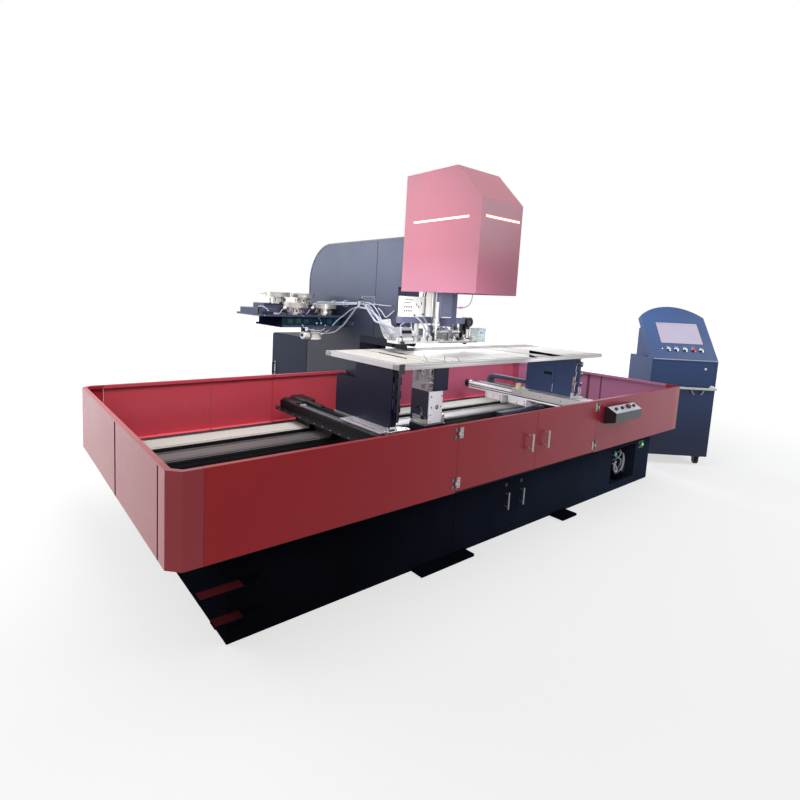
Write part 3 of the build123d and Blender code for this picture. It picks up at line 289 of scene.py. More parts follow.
# Its far rim is painted darker with little sheen: painted shade.
table_finish = finish("table_finish", (204, 202, 204), 0.36, metal=0.3, grain=160, stretch=(0.05, 4, 4),
                      zones=[({"x": (None, 1530), "y": (None, 445.6)}, (44, 46, 54), 0.4, 0.0),
                             ({"x": (1960, None), "y": (1198, None)}, (116, 114, 115), 0.5, 0.0, 0.1)])
column_finish = finish("column_finish", (38, 42, 62), 0.36, vary=0.12,
                       zones=[({"y": (None, 842.5), "z": (589, None)}, (248, 247, 253), 0.4, 0.0),
                              ({"z": (None, 592.5)}, (170, 166, 160), 0.36, 0.6)])
changer_finish = finish("changer_finish", (176, 178, 186), 0.34, metal=0.3)
side_box_finish = finish("side_box_finish", (40, 44, 68), 0.38, vary=0.1)
ram_finish = finish("ram_finish", (98, 100, 130), 0.36, vary=0.1,
                    zones=[({"x": (2300, None)}, (66, 74, 106), 0.36, 0.0)])
chain_finish = finish("chain_finish", (46, 52, 62), 0.5, vary=0.15, grain=300)
button_box_finish = finish("button_box_finish", (30, 32, 44), 0.35)
# The console is painted dark at the bottom and lighter towards the top: painted shade and light.
console_finish = finish("console_finish", ("z", 250, (22, 34, 66), 1450, (56, 88, 142)), 0.36,
                        specular=0.35, vary=0.08)
clear_blue = finish("clear_blue", (242, 250, 253), 0.16, vary=0.03)
clear_blue.node_tree.nodes["Principled BSDF"].inputs["Transmission Weight"].default_value = 0.75
terminal_white = finish("terminal_white", (255, 254, 250), 0.45, vary=0.02, bump=0.05)

CAD_FINISHES = {
    red_paint: ("tray_front_wall",),
    post_paint: ("tray_corner_posts",),
    end_wall_paint: ("tray_end_walls",),
    inner_paint: ("tray_back_wall",),
    tray_door_finish: ("tray_door_left", "tray_door_right"),
    cover_paint: ("head_cover",),
    base_finish: ("base_cabinet",),
    black_paint: ("base_foot_plates",),
    base_door_finish: ("base_door_left", "base_door_right"),
    blue_paint: ("c_frame",),
    cabinet_paint: ("rear_cabinet",),
    rear_door_finish: ("rear_cabinet_door",),
    hinge_metal: ("tray_door_hinges",),
    bright_steel: ("punch", "lower_die"),
    beam_finish: ("head_beam",),
    led_light: ("head_led_strips",),
    jet_metal: ("ram_cylinder", "castor_fork_left", "castor_fork_right"),
    side_box_finish: ("die_side_box",),
    ram_finish: ("ram",),
    terminal_white: ("head_terminal_box",),
    finish("canister_white", (222, 222, 224), 0.4, vary=0.04, bump=0.06): ("feeder_canister",),
    black_plastic: ("head_regulator", "box_button_start", "box_button_reset", "box_button_clamp",
                    "console_button_1", "console_button_2", "console_button_3", "console_button_5"),
    feed_finish: ("feed_unit",),
    finish("shuttle_finish", (158, 158, 164), 0.36, metal=0.5): ("feed_shuttle",),
    table_finish: ("table_frame",),
    clear_blue: ("catch_box",),
    column_finish: ("die_column",),
    changer_finish: ("die_changer",),
    rail_finish: ("x_rails",),
    left_module_finish: ("y_module_left",),
    right_module_finish: ("y_module_right",),
    upright_finish: ("upright_left",),
    right_upright_finish: ("upright_right",),
    chain_finish: ("energy_chain",),
    pale_plate: ("table_plates",),
    shelf_finish: ("feeder_shelf",),
    bowl_finish: ("feeder_bowls",),
    finish("hose_finish", (176, 181, 196), 0.38): ("feed_hoses",),
    button_box_finish: ("button_box",),
    stop_red: ("console_stop_button",),
    stop_dark: ("box_stop_button",),
    console_finish: ("console_cabinet", "console_panel"),
    finish("drawer_finish", (150, 152, 158), 0.35, metal=0.5): ("keyboard_drawer",),
    rubber: ("castor_wheel_front_left", "castor_wheel_front_right", "castor_wheel_rear_left",
             "castor_wheel_rear_right"),
}
for material, names in CAD_FINISHES.items():
    for name in names:
        NODES[name].data.materials.clear()
        NODES[name].data.materials.append(material)
missing = set(NODES) - {name for names in CAD_FINISHES.values() for name in names}
if missing:
    print("no finish for", sorted(missing))

# Finishes of the added pieces
# The light strips' edges glow orange-red though they are no lamps: a painted glow of the strips' light.
led_rim = glow("led_rim", (255, 86, 62), 0.9)
side_box_paint = finish("side_box_paint", (46, 50, 74), 0.34, vary=0.1)
ram_paint = finish("ram_paint", (104, 106, 136), 0.34, vary=0.1)
chrome = finish("chrome", (222, 223, 226), 0.12, metal=1.0, vary=0.03, bump=0.02)
grey_rubber = finish("grey_rubber", (92, 94, 100), 0.55, bump=0.15)
pink_plastic = finish("pink_plastic", (226, 150, 196), 0.4)
clear_tube = finish("clear_tube", (196, 198, 204), 0.25, vary=0.08)
white_hose = finish("white_hose", (192, 196, 210), 0.36, vary=0.05)
# Near black sheets in slots, holes, ports and vents stand for the shade inside them: painted shade. The
# gauge's needle is dark of its own.
dark_slot = finish("dark_slot", (16, 17, 20), 0.6, specular=0.2)
# Black for the painted shade and painted shadow laid on the table's plates.
shade_black = finish("shade_black", (14, 14, 24), 0.8, specular=0.0)
seam_dark = finish("seam_dark", (120, 116, 110), 0.6, specular=0.2)
cream_plastic = finish("cream_plastic", (236, 235, 230), 0.4, vary=0.05)
teal_plastic = finish("teal_plastic", (60, 150, 160), 0.35)
grey_cap = finish("grey_cap", (150, 150, 150), 0.5)
strip_grey = finish("strip_grey", (98, 96, 100), 0.35, metal=0.4)
strip_white = finish("strip_white", (226, 225, 224), 0.38, vary=0.04)
rail_white = finish("rail_white", (188, 185, 178), 0.45, vary=0.04)
chain_light = finish("chain_light", (70, 80, 104), 0.42, vary=0.12)
carriage_grey = finish("carriage_grey", (186, 178, 186), 0.36, metal=0.3)
chain_blue = finish("chain_blue", (64, 76, 108), 0.4, vary=0.1)
blue_hose = finish("blue_hose", (70, 120, 180), 0.35)
valve_grey = finish("valve_grey", (118, 122, 134), 0.36, metal=0.3)
valve_light = finish("valve_light", (212, 216, 214), 0.34, metal=0.2)
valve_dim = finish("valve_dim", (92, 97, 118), 0.4, metal=0.2)
seam_blue = finish("seam_blue", (26, 30, 42), 0.5)
seam_light = finish("seam_light", (196, 198, 214), 0.35)
guard_paint = finish("guard_paint", (22, 25, 44), 0.5, specular=0.2, vary=0.08)
frame_blue = finish("frame_blue", (64, 70, 94), 0.4, vary=0.08)
frame_edge = finish("frame_edge", (70, 77, 100), 0.36, vary=0.08)
rim_cream = finish("rim_cream", (190, 186, 180), 0.3, metal=0.5)
copper = finish("copper", (96, 66, 56), 0.42, metal=0.4)
drive_silver = finish("drive_silver", (206, 206, 208), 0.28, metal=0.7)
teal_dark = finish("teal_dark", (20, 62, 70), 0.35)
upright_blue = finish("upright_blue", (46, 64, 102), 0.42, vary=0.1)
lamp_blue = finish("lamp_blue", (150, 190, 224), 0.3)
lamp_teal = glow("lamp_teal", (60, 196, 190), 0.35)
lamp_green = glow("lamp_green", (90, 226, 120), 0.8)
lamp_off = finish("lamp_off", (46, 30, 34), 0.3)
face_white = finish("face_white", (204, 209, 220), 0.36)
face_grey = finish("face_grey", (126, 130, 142), 0.4)
bezel_grey = finish("bezel_grey", (30, 34, 48), 0.4)
screen_line = finish("screen_line", (122, 128, 172), 0.4)
panel_label = finish("panel_label", (190, 196, 214), 0.4)
button_blue = finish("button_blue", (206, 212, 228), 0.3)
button_cream = finish("button_cream", (232, 228, 214), 0.34)
# Pale, glossy paint for the rod along the console panel's fold: a painted highlight.
fold_highlight_paint = finish("fold_highlight_paint", (150, 160, 190), 0.2, specular=0.9)
drawer_lip = finish("drawer_lip", (206, 216, 212), 0.3, metal=0.2)


class Piece:
    """One added mesh, built up in mm of the machine, the console or its panel."""

    def __init__(self, name, place=None):
        self.name, self.place = name, place or MACHINE
        self.points, self.faces, self.picks, self.materials = [], [], [], []

    def add(self, material, points, faces):
        if material not in self.materials:
            self.materials.append(material)
        first = len(self.points)
        self.points += [self.place @ Vector(point) for point in points]
        self.faces += [[first + i for i in face] for face in faces]
        self.picks += [self.materials.index(material)] * len(faces)

    def box(self, material, x0, x1, y0, y1, z0, z1, edge=0.8, turn=None):
        """A block with its edges broken; turn is a matrix about its middle."""
        half = Vector(((x1 - x0) / 2, (y1 - y0) / 2, (z1 - z0) / 2))
        middle = Vector(((x0 + x1) / 2, (y0 + y1) / 2, (z0 + z1) / 2))
        edge = min(edge, min(half) * 0.45)
        points, number = [], {}
        for sx in (-1, 1):
            for sy in (-1, 1):
                for sz in (-1, 1):
                    for axis in range(3):
                        number[sx, sy, sz, axis] = len(points)
                        spot = Vector([s * (h if i == axis else h - edge)
                                       for i, (s, h) in enumerate(zip((sx, sy, sz), half))])
                        points.append(middle + (turn @ spot if turn else spot))
        faces = []
        ring = ((-1, -1), (1, -1), (1, 1), (-1, 1))
        for axis in range(3):
            for side in (-1, 1):
                faces.append([number[pair[:axis] + (side,) + pair[axis:] + (axis,)] for pair in ring])
        for axis in range(3):
            others = [i for i in range(3) if i != axis]
            for s1, s2 in ring:
                corners = []
                for s0, face in ((-1, others[0]), (1, others[0]), (1, others[1]), (-1, others[1])):
                    signs = [0, 0, 0]
                    signs[axis], signs[others[0]], signs[others[1]] = s0, s1, s2
                    corners.append(number[tuple(signs) + (face,)])
                faces.append(corners)
        for sx in (-1, 1):
            for sy in (-1, 1):
                for sz in (-1, 1):
                    faces.append([number[sx, sy, sz, axis] for axis in range(3)])
        self.add(material, points, faces)

    def boxes(self, material, edge, *rows):
        """Blocks of one material and edge, each row its limits in x, y and z."""
        for row in rows:
            self.box(material, *row, edge)

    def lathe(self, material, base, axis, profile, sides=24, loop=False):
        """Turned about an axis from base; profile is (radius, height), loop closes it into a ring."""
        axis = Vector(axis).normalized()
        across = axis.orthogonal().normalized()
        other = axis.cross(across)
        points, rows, faces = [], [], []
        for radius, height in profile:
            if radius == 0:
                rows.append([len(points)] * sides)
                points.append(Vector(base) + axis * height)
                continue
            rows.append([len(points) + i for i in range(sides)])
            for i in range(sides):
                turn = 2 * math.pi * i / sides
                points.append(Vector(base) + axis * height
                              + (across * math.cos(turn) + other * math.sin(turn)) * radius)
        pairs = list(zip(rows, rows[1:])) + ([(rows[-1], rows[0])] if loop else [])
        for low, high in pairs:
            for i in range(sides):
                j = (i + 1) % sides
                face = []
                for corner in (low[i], low[j], high[j], high[i]):
                    if corner not in face:
                        face.append(corner)
                if len(face) > 2:
                    faces.append(face)
        if not loop:
            for row in (rows[0], rows[-1]):
                if row[0] != row[1]:
                    faces.append(list(row))
        self.add(material, points, faces)

    def rod(self, material, start, end, radius, sides=20, edge=0.8):
        """A round bar with its two edges broken."""
        along = Vector(end) - Vector(start)
        edge = min(edge, radius * 0.4)
        self.lathe(material, start, along, [(radius - edge, 0), (radius, edge), (radius, along.length - edge),
                                            (radius - edge, along.length)], sides)

    def ring(self, material, centre, axis, outer, inner, low, high, sides=28):
        """A flat ring between two heights on its axis."""
        self.lathe(material, centre, axis, [(outer, low), (outer, high), (inner, high), (inner, low)],
                   sides, loop=True)

    def tube(self, material, route, radius, sides=8, steps=6):
        """A hose or wire on a smooth line through the points of the route."""
        route = [Vector(point) for point in route]
        ends = [2 * route[0] - route[1]] + route + [2 * route[-1] - route[-2]]
        line = []
        for a, b, c, d in zip(ends, ends[1:], ends[2:], ends[3:]):
            for i in range(steps):
                t = i / steps
                line.append(0.5 * (2 * b + (c - a) * t + (2 * a - 5 * b + 4 * c - d) * t * t
                                   + (3 * b - a - 3 * c + d) * t ** 3))
        line.append(route[-1])
        points, faces = [], []
        across = (line[1] - line[0]).orthogonal().normalized()
        for i, spot in enumerate(line):
            along = (line[min(i + 1, len(line) - 1)] - line[max(i - 1, 0)]).normalized()
            across = (across - along * across.dot(along)).normalized()
            other = along.cross(across)
            for k in range(sides):
                turn = 2 * math.pi * k / sides
                points.append(spot + (across * math.cos(turn) + other * math.sin(turn)) * radius)
        for i in range(len(line) - 1):
            for k in range(sides):
                j = (k + 1) % sides
                faces.append([i * sides + k, i * sides + j, (i + 1) * sides + j, (i + 1) * sides + k])
        faces.append(list(range(sides)))
        faces.append([len(points) - sides + k for k in range(sides)])
        self.add(material, points, faces)

    def plate(self, material, outline, axis, low, high):
        """An outline in the two axes across the given one, drawn out from low to high."""
        index = "xyz".index(axis)
        points = []
        for level in (low, high):
            for pair in outline:
                spot = list(pair)
                spot.insert(index, level)
                points.append(spot)
        n = len(outline)
        faces = [list(range(n)), list(range(n, 2 * n))]
        faces += [[i, (i + 1) % n, n + (i + 1) % n, n + i] for i in range(n)]
        self.add(material, points, faces)

    def screws(self, material, spots, axis, radius=5.0, height=None):
        """Socket head screws standing on a face at the spots."""
        height = height or radius * 1.1
        for spot in spots:
            self.lathe(material, spot, axis, [(radius, 0), (radius, height - 0.6), (radius - 0.6, height),
                                              (radius * 0.55, height), (radius * 0.5, height * 0.5),
                                              (0, height * 0.5)], 12)

    def done(self, body, slot):
        """Makes the mesh and lets it ride on the body; the slot argument is not used."""
        mesh = bpy.data.meshes.new(self.name)
        mesh.from_pydata(self.points, [], self.faces)
        for material in self.materials:
            mesh.materials.append(material)
        mesh.polygons.foreach_set("material_index", self.picks)
        shape = bmesh.new()
        shape.from_mesh(mesh)
        bmesh.ops.recalc_face_normals(shape, faces=shape.faces)
        shape.to_mesh(mesh)
        shape.free()
        mesh.polygons.foreach_set("use_smooth", [True] * len(mesh.polygons))
        mesh.set_sharp_from_angle(angle=math.radians(35))
        piece = bpy.data.objects.new(self.name, mesh)
        bpy.context.scene.collection.objects.link(piece)
        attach(piece, body)
        return piece


# The ram's axis, and the tops that screws and fittings stand on
RAM_X, RAM_Y = 2245, 900
FEED_TOP, PROFILE_TOP, PLATE_TOP, CARRIAGE_TOP, SHELF_TOP = 1222, 1124, 1127, 705, 1346


def turned(x, y, z, radius, turn):
    """A point on a level circle."""
    return x + radius * math.cos(turn), y + radius * math.sin(turn), z


def around(x, y, z, radius, turns):
    return [turned(x, y, z, radius, turn) for turn in turns]


def head_details():
    """A painted glow along the light strips' edges, the ram's plates and rods, tubes to the feed plate, cable
    with its connector.
    """
    rims = Piece("led_rims")
    for low, high in ((2075.5, 2078.8), (2093.2, 2096.5)):
        rims.boxes(led_rim, 0.2, (2031.4, 2032.6, 453, 986, low, high), (2463.4, 2464.6, 453, 986, low, high),
                   (2079, 2443, 354.4, 355.6, low, high))
    rims.done("machine", "light_strip")

    hem = Piece("head_hem")
    for x in (2033, 2454):
        hem.box(cover_paint, x, x + 9, 360, 1076, 1584.4, 1586, 0.3)
    hem.box(cover_paint, 2035, 2461, 356, 368, 1584.4, 1586, 0.3)
    hem.done("machine", "cover_red")

    ram = Piece("ram_fittings")
    ram.screws(grey_metal, [(2283, 791.5, z) for z in (1452, 1560)], FRONT, 4, 2)
    ram.screws(bright_steel, [(2331, 805, z) for z in (1352, 1590)], FRONT, 5)
    ram.box(terminal_white, 2183.4, 2187.6, 902, 958, 1402, 1596, 1.2)
    ram.rod(valve_light, (2182, 889, 1404), (2182, 889, 1596), 9, 16)
    ram.rod(grey_metal, (2182, 868, 1404), (2182, 868, 1596), 7, 16)
    ram.rod(valve_light, (2184, 852, 1404), (2184, 852, 1596), 4, 12)
    ram.box(terminal_white, 2179, 2188, 822, 844, 1402, 1516, 3)
    ram.box(terminal_white, 2190, 2290, 791.4, 795.6, 1402, 1408, 1)
    ram.box(ram_paint, 2207, 2279, 791.5, 795.5, 1440, 1572, 1.2)
    ram.ring(chrome, (RAM_X, RAM_Y, 1338), Z, 40, 31.5, 0, 15)
    ram.ring(bright_steel, (RAM_X, RAM_Y, 1318), Z, 25, 19.5, 2, 16)
    ram.screws(black_plastic, around(RAM_X, RAM_Y, 1338, 36, (0.5, 2.6, 4.7)), DOWN, 3.5)
    ram.rod(bright_steel, (2331, 900, 1334), (2331, 900, 1321), 11)
    ram.rod(black_plastic, (2363, 880, 1372), (2376, 880, 1372), 8)
    ram.rod(bright_steel, (2363, 850, 1490), (2372, 850, 1490), 6)
    ram.tube(grey_rubber, [(2371, 850, 1490), (2384, 835, 1487), (2392, 815, 1481)], 2.6)
    ram.rod(pink_plastic, (2392, 815, 1481), (2412, 790, 1482), 8, 14, 2)
    ram.tube(grey_rubber, [(2412, 790, 1482), (2440, 760, 1500), (2452, 742, 1545), (2448, 735, 1600),
                           (2440, 740, 1700)], 2.6)
    ram.done("ram", "black_anodised")

    tubes = Piece("head_tubes")
    runs = (
        (clear_tube, 8, [(2105, 1000, 1402), (2142, 988, 1380), (2192, 980, 1330), (2236, 976, 1268),
                         (2246, 972, 1240)]),
        (white_hose, 5, [(2196, 1000, 1410), (2216, 992, 1375), (2246, 986, 1326), (2262, 978, 1270),
                         (2264, 976, 1240)]),
        (white_hose, 6, [(2338, 996, 1440), (2340, 990, 1380), (2342, 984, 1300), (2342, 980, 1262)]),
        (black_plastic, 6, [(2356, 998, 1430), (2360, 990, 1380), (2362, 986, 1310), (2362, 984, 1276)]),
        (white_hose, 5, [(2378, 1000, 1420), (2384, 990, 1374), (2398, 982, 1300), (2402, 976, 1270)]),
        (black_plastic, 4, [(2400, 1000, 1420), (2408, 992, 1372), (2424, 984, 1326), (2446, 976, 1304)]),
        (white_hose, 5, [(2412, 1000, 1420), (2422, 990, 1376), (2446, 982, 1320), (2462, 974, 1304)]),
        (clear_tube, 4, [(2268, 1000, 1420), (2288, 990, 1372), (2316, 984, 1310), (2322, 976, 1288)]),
    )
    for material, radius, route in runs:
        tubes.tube(material, route, radius)
        end = Vector(route[-1])
        tubes.rod(bright_steel, end - 14 * Z, end + 4 * Z, radius + 3, 12)
        tubes.rod(black_plastic, end + 3 * Z, end + 8 * Z, radius + 1.6, 12)
        top = Vector(route[0])
        tubes.rod(black_plastic, top - 3 * Z, top + 12 * Z, radius + 2.4, 12)
    tubes.box(white_plastic, 2324, 2426, 994, 1006, 1412, 1438, 2)
    tubes.box(white_plastic, 2092, 2284, 994, 1006, 1396, 1412, 1.5)
    tubes.done("machine", "white_hose")

    box = Piece("terminal_ports")
    for z in (1432, 1462):
        for x in (2006, 2028, 2050, 2072):
            box.box(dark_slot, x + 1.5, x + 10.5, 1005.4, 1011, z + 1.5, z + 14.5, 0.5)
    for z, x0, x1 in ((1500, 2002, 2070), (1520, 2012, 2092)):
        box.box(grey_metal, x0, x1, 1003.6, 1006.5, z, z + 5, 0.8)
        box.box(dark_slot, x0 + 6, x0 + 18, 1002.6, 1004, z + 0.6, z + 4.4, 0.4)
    for x, z in ((2128, 1478), (2150, 1462), (2176, 1488)):
        box.box(grey_metal, x, x + 7, 1002, 1006.5, z, z + 20, 1.2)
        box.box(dark_slot, x + 1.6, x + 5.4, 1001.2, 1002.4, z + 4, z + 11, 0.4)
    box.box(white_plastic, 1988, 2264, 1003.8, 1006.4, 1401, 1418, 1)
    box.screws(bright_steel, [(x, 1006, z) for x in (1993, 2259) for z in (1426, 1540)], FRONT, 3.2, 2)
    box.tube(grey_rubber, [(2240, 1030, 1545), (2244, 1026, 1580), (2252, 1010, 1640)], 6)
    box.tube(grey_rubber, [(2216, 1030, 1545), (2222, 1028, 1580), (2226, 1014, 1640)], 4)
    box.tube(black_plastic, [(2030, 1030, 1545), (2034, 1034, 1572), (2060, 1036, 1600),
                             (2070, 1030, 1650)], 4)
    box.done("machine", "white_plastic")

    gauge = Piece("regulator_details")
    gauge.ring(black_plastic, (2738, 994, 1361), FRONT, 39.5, 27, 0, 7)
    gauge.rod(bezel_grey, (2738, 996, 1361), (2738, 991.5, 1361), 27)
    gauge.rod(grey_metal, (2738, 992, 1361), (2738, 988, 1361), 5, 12)
    gauge.box(dark_slot, 2726, 2738, 990.6, 991.8, 1360, 1362, 0.2)
    gauge.box(white_plastic, 2722, 2754, 1006, 1011, 1226, 1300, 1.5)
    gauge.rod(bright_steel, (2738, 1030, 1322), (2738, 1030, 1352), 12)
    gauge.rod(black_plastic, (2738, 1030, 1172), (2738, 1030, 1192), 17)
    gauge.tube(white_hose, [(2710, 1030, 1250), (2690, 1022, 1246), (2668, 1010, 1256),
                            (2652, 1000, 1236)], 4)
    gauge.done("machine", "black_cap")


def feed_details():
    """Brackets, sensors and screws on the feed plate, the guide of the hoses, fasteners in the box."""
    made = Piece("feed_fittings")
    for x, wide, top in ((2306, 44, 1288), (2366, 52, 1270), (2440, 40, 1304), (2500, 58, 1262)):
        made.screws(bright_steel, [(x + 8, 958, top), (x + wide - 8, 986, top)], Z, 4)
        made.box(grey_metal, x + 6, x + wide - 6, 940.5, 944.5, 1228, top - 8, 1.5)
        if x > 2363:
            made.screws(bright_steel, [(x + wide / 2, 940.5, (1228 + top) / 2)], FRONT, 4, 3)
    for x in (2318, 2332):
        made.box(dark_slot, x, x + 8, 943, 945, 1240, 1276, 1)
    made.ring(chrome, (2562, 962, 1282), X, 16, 8, -4, 8)
    made.rod(bright_steel, (2570, 962, 1282), (2604, 962, 1282), 6)
    made.box(black_plastic, 2602, 2622, 946, 978, FEED_TOP, 1296, 2)
    made.rod(bright_steel, (2602, 930, 1204), (2602, 930, 1262), 11)
    made.rod(black_plastic, (2576, 1000, FEED_TOP), (2576, 1000, 1345), 13)
    made.rod(black_plastic, (2640, 1000, FEED_TOP), (2640, 1000, 1345), 12)
    made.ring(white_plastic, (2572, 880, FEED_TOP), Z, 26, 14, 0, 9)
    made.screws(bright_steel, [(x, y, FEED_TOP) for x in (2140, 2680) for y in (862, 1038)], Z, 6)
    made.screws(black_plastic, [(2230 + 30 * i, 862, FEED_TOP) for i in range(4)], Z, 4)
    for x, y, w, d, top, look in (
            (2150, 872, 34, 24, 1262, bright_steel), (2200, 952, 26, 22, 1282, aluminium),
            (2186, 868, 16, 22, 1240, black_plastic), (2270, 934, 24, 40, 1276, black_plastic),
            (2282, 862, 26, 26, 1230, white_plastic), (2420, 866, 18, 30, 1256, bright_steel),
            (2466, 862, 26, 22, 1246, black_plastic), (2640, 866, 34, 40, 1252, aluminium),
            (2534, 866, 18, 26, 1250, bright_steel), (2352, 862, 18, 20, 1232, grey_metal)):
        made.box(look, x, x + w, y, y + d, 1221.5, top, 1.5)
        made.screws(bright_steel, [(x + w / 2, y + d / 2, top)], Z, 3.6)
    for x0, x1, y0, y1, top, look in (
            (2296, 2334, 1006, 1040, 1332, ram_paint), (2180, 2222, 1008, 1044, 1306, valve_grey),
            (2420, 2466, 1008, 1042, 1322, valve_grey), (2486, 2540, 1010, 1044, 1300, ram_paint),
            (2600, 2630, 1010, 1044, 1318, valve_light)):
        made.box(look, x0, x1, y0, y1, 1221.5, top, 2)
        made.screws(black_plastic, [((x0 + x1) / 2, y0, top - d) for d in (14, 44)], FRONT, 4, 3)
    made.box(black_plastic, 2124, 2690, 851, 853, 1206, 1219, 0.6)
    made.box(dark_slot, 2230, 2680, 846.5, 850.5, 1208, 1213, 0.5)
    for x in (2240, 2300, 2376, 2452, 2530, 2606):
        made.rod(bright_steel, (x, 850, 1214), (x, 842, 1214), 6, 12)
    for x in (2402, 2488):
        made.tube(white_hose, [(x, 900, 1250), (x + 6, 908, 1266), (x + 22, 930, 1270),
                               (x + 30, 944, 1256)], 3)
    made.done("machine", "steel")

    track = Piece("feed_track_fittings")
    for x in (1866, 1950, 2040, 2104):
        track.screws(bright_steel, [(x, 888, 1248), (x, 992, 1248)], Z, 4)
    track.rod(aluminium, (1858, 866, 1236), (1990, 866, 1236), 13)
    track.rod(bright_steel, (1990, 866, 1236), (2040, 866, 1236), 5)
    for x in (1864, 1976):
        track.ring(grey_metal, (x, 866, 1236), X, 15.5, 12, 0, 9)
        track.rod(black_plastic, (x + 4, 866, 1249), (x + 4, 866, 1262), 5, 12)
    track.box(grey_metal, 2036, 2050, 852, 882, 1222, 1252, 1.5)
    track.box(black_plastic, 1872, 1908, 868, 880, 1206, 1220, 1.5)
    track.tube(white_hose, [(1868, 866, 1262), (1868, 872, 1284), (1900, 920, 1330), (1990, 980, 1352)], 3)
    track.tube(white_hose, [(1980, 866, 1262), (1982, 872, 1280), (2010, 920, 1322), (2060, 980, 1350)], 3)
    track.box(white_plastic, 2030, 2112, 996, 1006, 1250, 1290, 2)
    track.done("machine", "steel")

    shuttle = Piece("shuttle_fittings")
    shuttle.screws(bright_steel, [(x, y, 1318) for x in (1912, 1998) for y in (917, 963)], Z, 5)
    shuttle.screws(bright_steel, [(x, 940, 1262) for x in (2030, 2080)], Z, 5)
    shuttle.box(dark_slot, 1906, 2004, 903.6, 905.4, 1276, 1300, 0.6)
    shuttle.rod(bright_steel, (2010, 925, 1290), (2026, 925, 1290), 8)
    shuttle.rod(black_plastic, (2010, 955, 1300), (2022, 955, 1300), 6)
    shuttle.done("feed_shuttle", "aluminium")

    guide = Piece("hose_guide")
    outline = [(1420, 1346), (1302, 1360), (1286, 1312), (1232, 1292), (1180, 1290), (1180, 1182),
               (1262, 1182), (1327, 1204), (1370, 1257), (1406, 1318)]
    guide.plate(cream_plastic, outline, "x", 2126, 2130)
    lower = outline[5:] + outline[:1]
    for (y0, z0), (y1, z1) in zip(lower, lower[1:]):
        guide.plate(cream_plastic, [(y0, z0), (y1, z1), (y1, z1 + 4), (y0, z0 + 4)], "x", 2098, 2127)
    guide.plate(cream_plastic, [(1178, 1182), (1182, 1182), (1182, 1300), (1178, 1300)], "x", 2080, 2130)
    guide.screws(bright_steel, [(2126, y, z) for y, z in ((1388, 1330), (1318, 1340), (1250, 1270))],
                 LEFT, 5, 4)
    guide.box(dark_slot, 2124.4, 2126.4, 1338, 1352, 1238, 1282, 0.6, Matrix.Rotation(0.6, 3, "X"))
    guide.done("machine", "white_metal")

    dots = Piece("stray_fasteners")
    for i in range(26):
        x = 2824 + 11.5 * (i % 8) + 2 * math.sin(5 * i)
        y = 970 + 17 * (i // 8) + 4 * math.sin(3 * i)
        lean = (0.4 * math.sin(7 * i), 0.4 * math.cos(4 * i), 1)
        dots.ring(bright_steel, (x, y, 1200 + 2 * (i % 3)), lean, 4.6, 2.2, 0, 4, 6)
    dots.done("machine", "steel")
    lid = Piece("catch_box_details")
    for x0, x1, y0, y1 in ((2812, 2818, 957, 1045), (2914, 2920, 957, 1045), (2812, 2920, 957, 963),
                           (2812, 2920, 1039, 1045)):
        lid.box(clear_blue, x0, x1, y0, y1, 1300, 1309, 1)
    lid.box(teal_plastic, 2846, 2876, 958.6, 960.4, 1268, 1277, 0.5)
    lid.box(teal_plastic, 2826, 2856, 958.6, 960.4, 1244, 1247, 0.4)
    lid.done("machine", "clear_blue")


# Sheets of painted shade where openings beside the plates show dark, the last two a painted shadow, a strip
# of painted shade and gaps of the boards laid on them: outlines in x and y
TABLE_SHADE_PATCHES = (((1819, 1050), (1780, 699), (1745, 660), (1784, 1007)),
               ((1910, 951), (1960, 960), (1960, 884), (1927, 860)),
               ((3366, 820), (3121, 652), (3143, 453), (3275, 447)),
               ((3017, 581), (2891, 495), (2870, 447), (2935, 447)))
TABLE_SHADE = ((1924, 1117), (1960, 1128), (1960, 960), (1910, 951))
TABLE_LINES = (((2177, 963), (1815, 535)), ((2191, 736), (1879, 440)), ((2191, 736), (2234, 694)),
               ((2234, 694), (2180, 600)), ((2180, 600), (2024, 440)))


